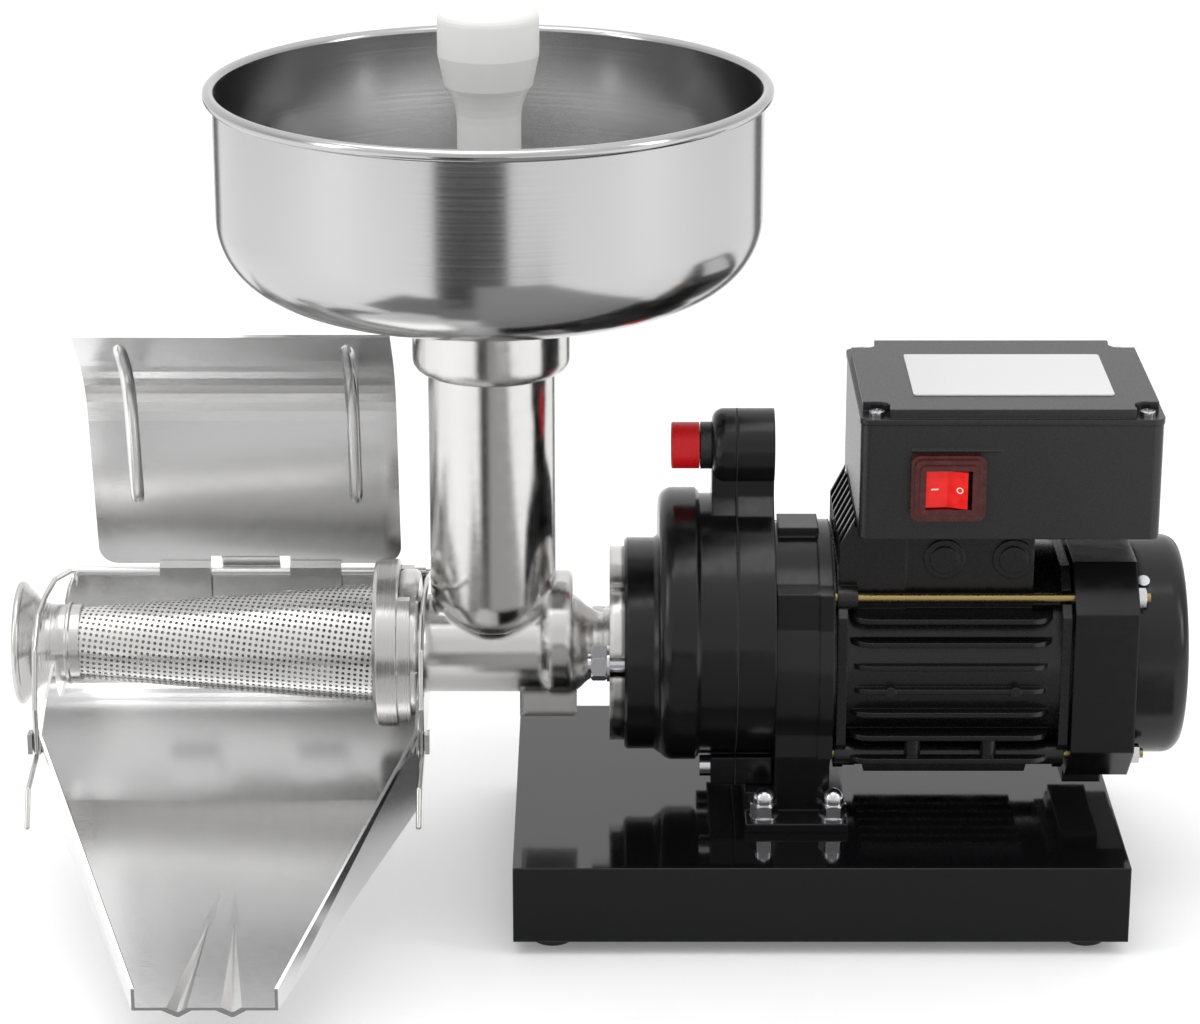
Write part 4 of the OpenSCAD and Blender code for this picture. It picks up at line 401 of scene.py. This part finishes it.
def flat_sheet(near, far, half_open):
    """Points and triangles of the sheet laid out flat, with the two sides of its seam made one."""
    outline = sheet_outline(near, far, half_open)
    n = len(outline)
    points = list(outline)
    edges = [(i, (i + 1) % n) for i in range(n)]
    for hole in hole_outlines(near, far, half_open):
        first = len(points)
        points += hole
        edges += [(first + k, first + (k + 1) % hole_sides) for k in range(hole_sides)]
    in_mm = [Vector((d * math.cos(a), d * math.sin(a))) * 1000 for d, a in points]
    _, _, faces, origin, _, _ = delaunay_2d_cdt(in_mm, edges, [list(range(n))], 1, 1e-6)

    seam_at = {round(d, 7): k for k, (d, a) in enumerate(outline) if a == -half_open}
    merged = {k: seam_at[round(d, 7)] for k, (d, a) in enumerate(outline) if a == half_open}
    triangles = []
    for face in faces:
        ids = [origin[i][0] for i in face]
        fills_a_hole = min(ids) >= n and len({(i - n) // hole_sides for i in ids}) == 1
        if not fills_a_hole:
            triangles.append([merged.get(i, i) for i in ids])
    return points, triangles


def rolled(points, triangles, half_angle, apex_x):
    """The flat sheet rolled round the machine line, with both faces and the walls of its holes."""
    verts, n = [], len(points)
    for depth in (0.0, cone_sheet):
        for d, a in points:
            r, t = d * math.sin(half_angle) - depth, a / math.sin(half_angle)
            verts.append((apex_x + d * math.cos(half_angle),
                          axis_c.y - r * math.cos(t), axis_c.z + r * math.sin(t)))
    sides = [(tri[k], tri[(k + 1) % 3]) for tri in triangles for k in range(3)]
    paired = set(sides)
    faces = [list(tri) for tri in triangles] + [[i + n for i in reversed(tri)] for tri in triangles]
    faces += [[b, a, a + n, b + n] for a, b in sides if (b, a) not in paired]
    return verts, faces


points, triangles = flat_sheet(narrow_r / math.sin(cone_half_angle), wide_r / math.sin(cone_half_angle),
                               math.pi * math.sin(cone_half_angle))
cone_verts, cone_faces = rolled(points, triangles, cone_half_angle,
                                cone_lo.x - narrow_r / math.tan(cone_half_angle))
lip_bore = wide_r - 0.9 * cone_sheet
lip = [(cone_hi.x, lip_bore), (cone_hi.x, lip_r), (sheet_end, lip_r), (sheet_end, lip_bore)]
lip_verts, lip_faces = lathe([lip], cone_steps,
                             lambda x, r, t: (x, axis_c.y + r * math.cos(t), axis_c.z + r * math.sin(t)))
cone_faces += [[i + len(cone_verts) for i in face] for face in lip_faces]
cone_skin = mesh_object("strainer_sheet", cone_verts + lip_verts, cone_faces, M["perforated"])
shade(cone_skin)
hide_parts("strainer_cone")
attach(cone_skin, "strainer")


# The two marks on the rocker, laid on its face

rocker_lo, rocker_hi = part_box("switch_rocker")
rocker_mid = (rocker_lo + rocker_hi) / 2
rocker_tree = BVHTree.FromObject(nodes["switch_rocker"], bpy.context.evaluated_depsgraph_get())
mark_proud = 0.00012
mark_reach = 0.0050
ring_points = 32


def on_rocker(x, z):
    """The point of the rocker's face behind (x, z), a little proud of it."""
    hit = rocker_tree.ray_cast(Vector((x, rocker_lo.y - 0.01, z)), Vector((0, 1, 0)))
    return (x, (hit[0].y if hit[0] else rocker_lo.y) - mark_proud, z)


def mark(name, outer, inner):
    """A thin closed band between two outlines with the same number of points."""
    n = len(outer)
    top = [on_rocker(x, z) for x, z in outer + inner]
    verts = top + [(x, y + 2 * mark_proud, z) for x, y, z in top]
    faces = []
    for i in range(n):
        j = (i + 1) % n
        faces += [(i, j, n + j, n + i), (2 * n + i, 3 * n + i, 3 * n + j, 2 * n + j)]
        faces += [(i, 2 * n + i, 2 * n + j, j), (n + i, n + j, 3 * n + j, 3 * n + i)]
    o = mesh_object(name, verts, faces, M["mark"])
    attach(o, "rocker")


def ring(x, z, r):
    turns = [2 * math.pi * i / ring_points for i in range(ring_points)]
    return [(x + r * math.cos(t), z + r * math.sin(t)) for t in turns]


def bar(x, z, half_x, half_z):
    return [(x + sx * half_x, z + sz * half_z) for sx, sz in ((-1, -1), (1, -1), (1, 1), (-1, 1))]


on_x, off_x = rocker_mid.x - mark_reach, rocker_mid.x + mark_reach
mark("mark_on", bar(on_x, rocker_mid.z, 0.0015, 0.0003), bar(on_x, rocker_mid.z, 0.0012, 0.00001))
mark("mark_off", ring(off_x, rocker_mid.z, 0.00135), ring(off_x, rocker_mid.z, 0.00085))


# The cover's two pressed ribs, rounded over the flat-topped ones of the CAD cover

cover_lo, cover_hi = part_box("splash_cover")
cover_tree = BVHTree.FromObject(nodes["splash_cover"], bpy.context.evaluated_depsgraph_get())
rib_from_middle, rib_half_w, rib_rise = 0.047, 0.0030, 0.0021
rib_sunk = 0.0003
rib_low, rib_high = 0.050, 0.0055
rib_steps, rib_round, rib_end = 40, 10, 3.0
beside_rib = 0.008


def rib(name, x):
    """A half-round rib that follows the cover's face and fades at its ends."""
    z0, z1 = cover_lo.z + rib_low, cover_hi.z - rib_high
    line = []
    for i in range(rib_steps + 1):
        z = z0 + (z1 - z0) * i / rib_steps
        hit = cover_tree.ray_cast(Vector((x + beside_rib, cover_lo.y - 0.05, z)), Vector((0, 1, 0)))
        line.append(Vector((x, hit[0].y, z)))
    verts, faces = [], []
    for i, point in enumerate(line):
        ahead = line[min(i + 1, rib_steps)] - line[max(i - 1, 0)]
        out = Vector((0, -ahead.z, ahead.y)).normalized()
        near_end = min(i, rib_steps - i) / rib_end
        full = math.sqrt(1 - (1 - min(near_end, 1.0)) ** 2) if near_end else 0.05
        for k in range(rib_round + 1):
            t = math.pi * k / rib_round
            verts.append(point + Vector((rib_half_w * full * math.cos(t), 0, 0))
                         + out * (rib_rise * full * math.sin(t) - rib_sunk))
    row = rib_round + 1
    for i in range(rib_steps):
        for k in range(rib_round):
            faces.append((i * row + k, (i + 1) * row + k, (i + 1) * row + k + 1, i * row + k + 1))
        faces.append((i * row + rib_round, (i + 1) * row + rib_round, (i + 1) * row, i * row))
    faces += [tuple(range(row)), tuple(reversed(range(rib_steps * row, (rib_steps + 1) * row)))]
    o = mesh_object(name, verts, faces, M["sheet"])
    shade(o)
    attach(o, "cover")


cover_mid = (cover_lo.x + cover_hi.x) / 2
rib("cover_rib_left", cover_mid - rib_from_middle)
rib("cover_rib_right", cover_mid + rib_from_middle)


# The floor, a light table whose sheet glows a little

def matt_grey(name, first, second, grain):
    """A matt surface between two greys; returns the material, its tree, its shader and the noise."""
    m, nt, b = new_mat(name)
    f = noise(nt, object_coord(nt), grain)
    two_tone(nt, b, f, (first,) * 3, (second,) * 3)
    return m, nt, b, f


floor_size, below_feet = 12.0, 0.0002
bpy.ops.mesh.primitive_plane_add(size=floor_size, location=(0, 0, -below_feet))
floor = bpy.context.object
floor.name = "studio_floor"
floor_mat, floor_nt, floor_shader, floor_noise = matt_grey("floor_pale", 0.86, 0.88, 60.0)
floor_nt.links.new(map_range(floor_nt, floor_noise, 0.6, 0.75), floor_shader.inputs["Roughness"])
floor_shader.inputs["Emission Color"].default_value = (1, 1, 1, 1)
floor_shader.inputs["Emission Strength"].default_value = 0.16
floor.data.materials.append(floor_mat)


# Dark flags flat on the floor, seen only in the metal, as a studio has them for polished steel

def flag(name, outline, tone, height=0.0004):
    m, _, b, _ = matt_grey(name, tone, tone * 1.05, 20.0)
    b.inputs["Roughness"].default_value = 0.9
    o = mesh_object(name, [(x, y, height) for x, y in outline], [list(range(len(outline)))], m)
    o.visible_camera = False
    o.visible_diffuse = False
    o.visible_transmission = False
    o.visible_shadow = False


def sector(centre, from_deg, to_deg, near, far):
    """Four corners of a piece of a ring round a point; 0 degrees is -Y and positive turns to +X."""
    corners = []
    for deg, r in ((from_deg, near), (from_deg, far), (to_deg, far), (to_deg, near)):
        t = math.radians(deg)
        corners.append((centre.x + r * math.sin(t), centre.y - r * math.cos(t)))
    return corners


base_lo, base_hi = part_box("base_box")
flags_end = -0.9
before_base = base_lo.y - 0.004
flag("flag_front", sector(bowl_c, -20.0, 8.6, 0.30, 2.2), 0.03)
flag("flag_feed", [(-0.30, -0.13), (-0.34, -0.40), (0.03, -0.40), (base_lo.x, -0.13)], 0.20)
flag("flag_right", sector(bowl_c, 142.0, 156.0, 0.35, 2.2), 0.08)
flag("flag_left", sector(bowl_c, -158.0, -146.0, 0.35, 2.2), 0.08)
flag("flag_motor", [(base_lo.x - 0.02, before_base), (base_lo.x - 0.08, flags_end),
                    (base_hi.x + 0.15, flags_end), (base_hi.x + 0.05, before_base)], 0.30, 0.0006)


# Plain pale surroundings: a tone for each direction round the object, and one overhead

# Share of a turn, from +Y by way of -X, -Y (0.5) and +X, with the brightness there
AROUND = [
    (0.0, 1.2), (0.16, 0.95), (0.26, 0.7), (0.36, 1.15), (0.45, 0.95),
    (0.52, 0.9), (0.62, 1.15), (0.74, 0.7), (0.84, 0.95), (1.0, 1.2),
]
OVERHEAD = 1.3
OVERHEAD_FROM, OVERHEAD_FULL = 0.40, 0.85

world = bpy.data.worlds.new("studio")
bpy.context.scene.world = world
world.use_nodes = True
wt = world.node_tree
background = wt.nodes["Background"]
direction = add(wt, "ShaderNodeSeparateXYZ")
wt.links.new(add(wt, "ShaderNodeTexCoord").outputs["Generated"], direction.inputs["Vector"])
minus_y = math_node(wt, "MULTIPLY", direction.outputs["Y"], -1.0)
azimuth = math_node(wt, "ARCTAN2", direction.outputs["X"], minus_y)
share = math_node(wt, "ADD", math_node(wt, "MULTIPLY", azimuth, 1 / (2 * math.pi)), 0.5)
ramp = add(wt, "ShaderNodeValToRGB")
stops = ramp.color_ramp.elements
stops[0].position, stops[-1].position = AROUND[0][0], AROUND[-1][0]
for stop, (_, tone) in zip(stops, (AROUND[0], AROUND[-1])):
    stop.color = (tone, tone, tone, 1)
for position, tone in AROUND[1:-1]:
    stops.new(position).color = (tone, tone, tone, 1)
wt.links.new(share, ramp.inputs["Fac"])
upward = add(wt, "ShaderNodeMapRange")
upward.inputs["From Min"].default_value = OVERHEAD_FROM
upward.inputs["From Max"].default_value = OVERHEAD_FULL
wt.links.new(direction.outputs["Z"], upward.inputs["Value"])
sky = add(wt, "ShaderNodeMix", data_type="RGBA")
sky.inputs["B"].default_value = (OVERHEAD, OVERHEAD, OVERHEAD, 1)
wt.links.new(upward.outputs["Result"], sky.inputs["Factor"])
wt.links.new(ramp.outputs["Color"], sky.inputs["A"])
wt.links.new(sky.outputs["Result"], background.inputs["Color"])
background.inputs["Strength"].default_value = 0.85


# Lights and camera

def area(name, loc, aim, size, power):
    d = bpy.data.lights.new(name, "AREA")
    d.shape = "RECTANGLE"
    d.size, d.size_y = size
    d.energy = power
    o = bpy.data.objects.new(name, d)
    bpy.context.scene.collection.objects.link(o)
    o.location = loc
    o.rotation_euler = (Vector(aim) - Vector(loc)).to_track_quat("-Z", "Y").to_euler()
    o.visible_camera = False


area("key_top", (-0.25, -0.15, 1.6), (-0.2, -0.1, 0.1), (1.3, 0.9), 6)
area("side_left", (-1.5, -0.7, 0.9), (-0.1, 0, 0.15), (0.3, 1.2), 4.5)
area("side_right", (1.6, -0.6, 0.9), (0.1, 0, 0.15), (0.3, 1.2), 4.5)

looks_down = 19.3
cam_data = bpy.data.cameras.new("camera")
cam_data.lens = 114.0
cam_data.sensor_width = 36.0
cam_data.clip_start, cam_data.clip_end = 0.01, 50
cam = bpy.data.objects.new("camera", cam_data)
cam.location = (0.0, -1.464, 0.687)
cam.rotation_euler = (math.radians(90 - looks_down), 0, 0)
bpy.context.scene.collection.objects.link(cam)
bpy.context.scene.camera = cam
bpy.context.scene.view_settings.view_transform = "Standard"
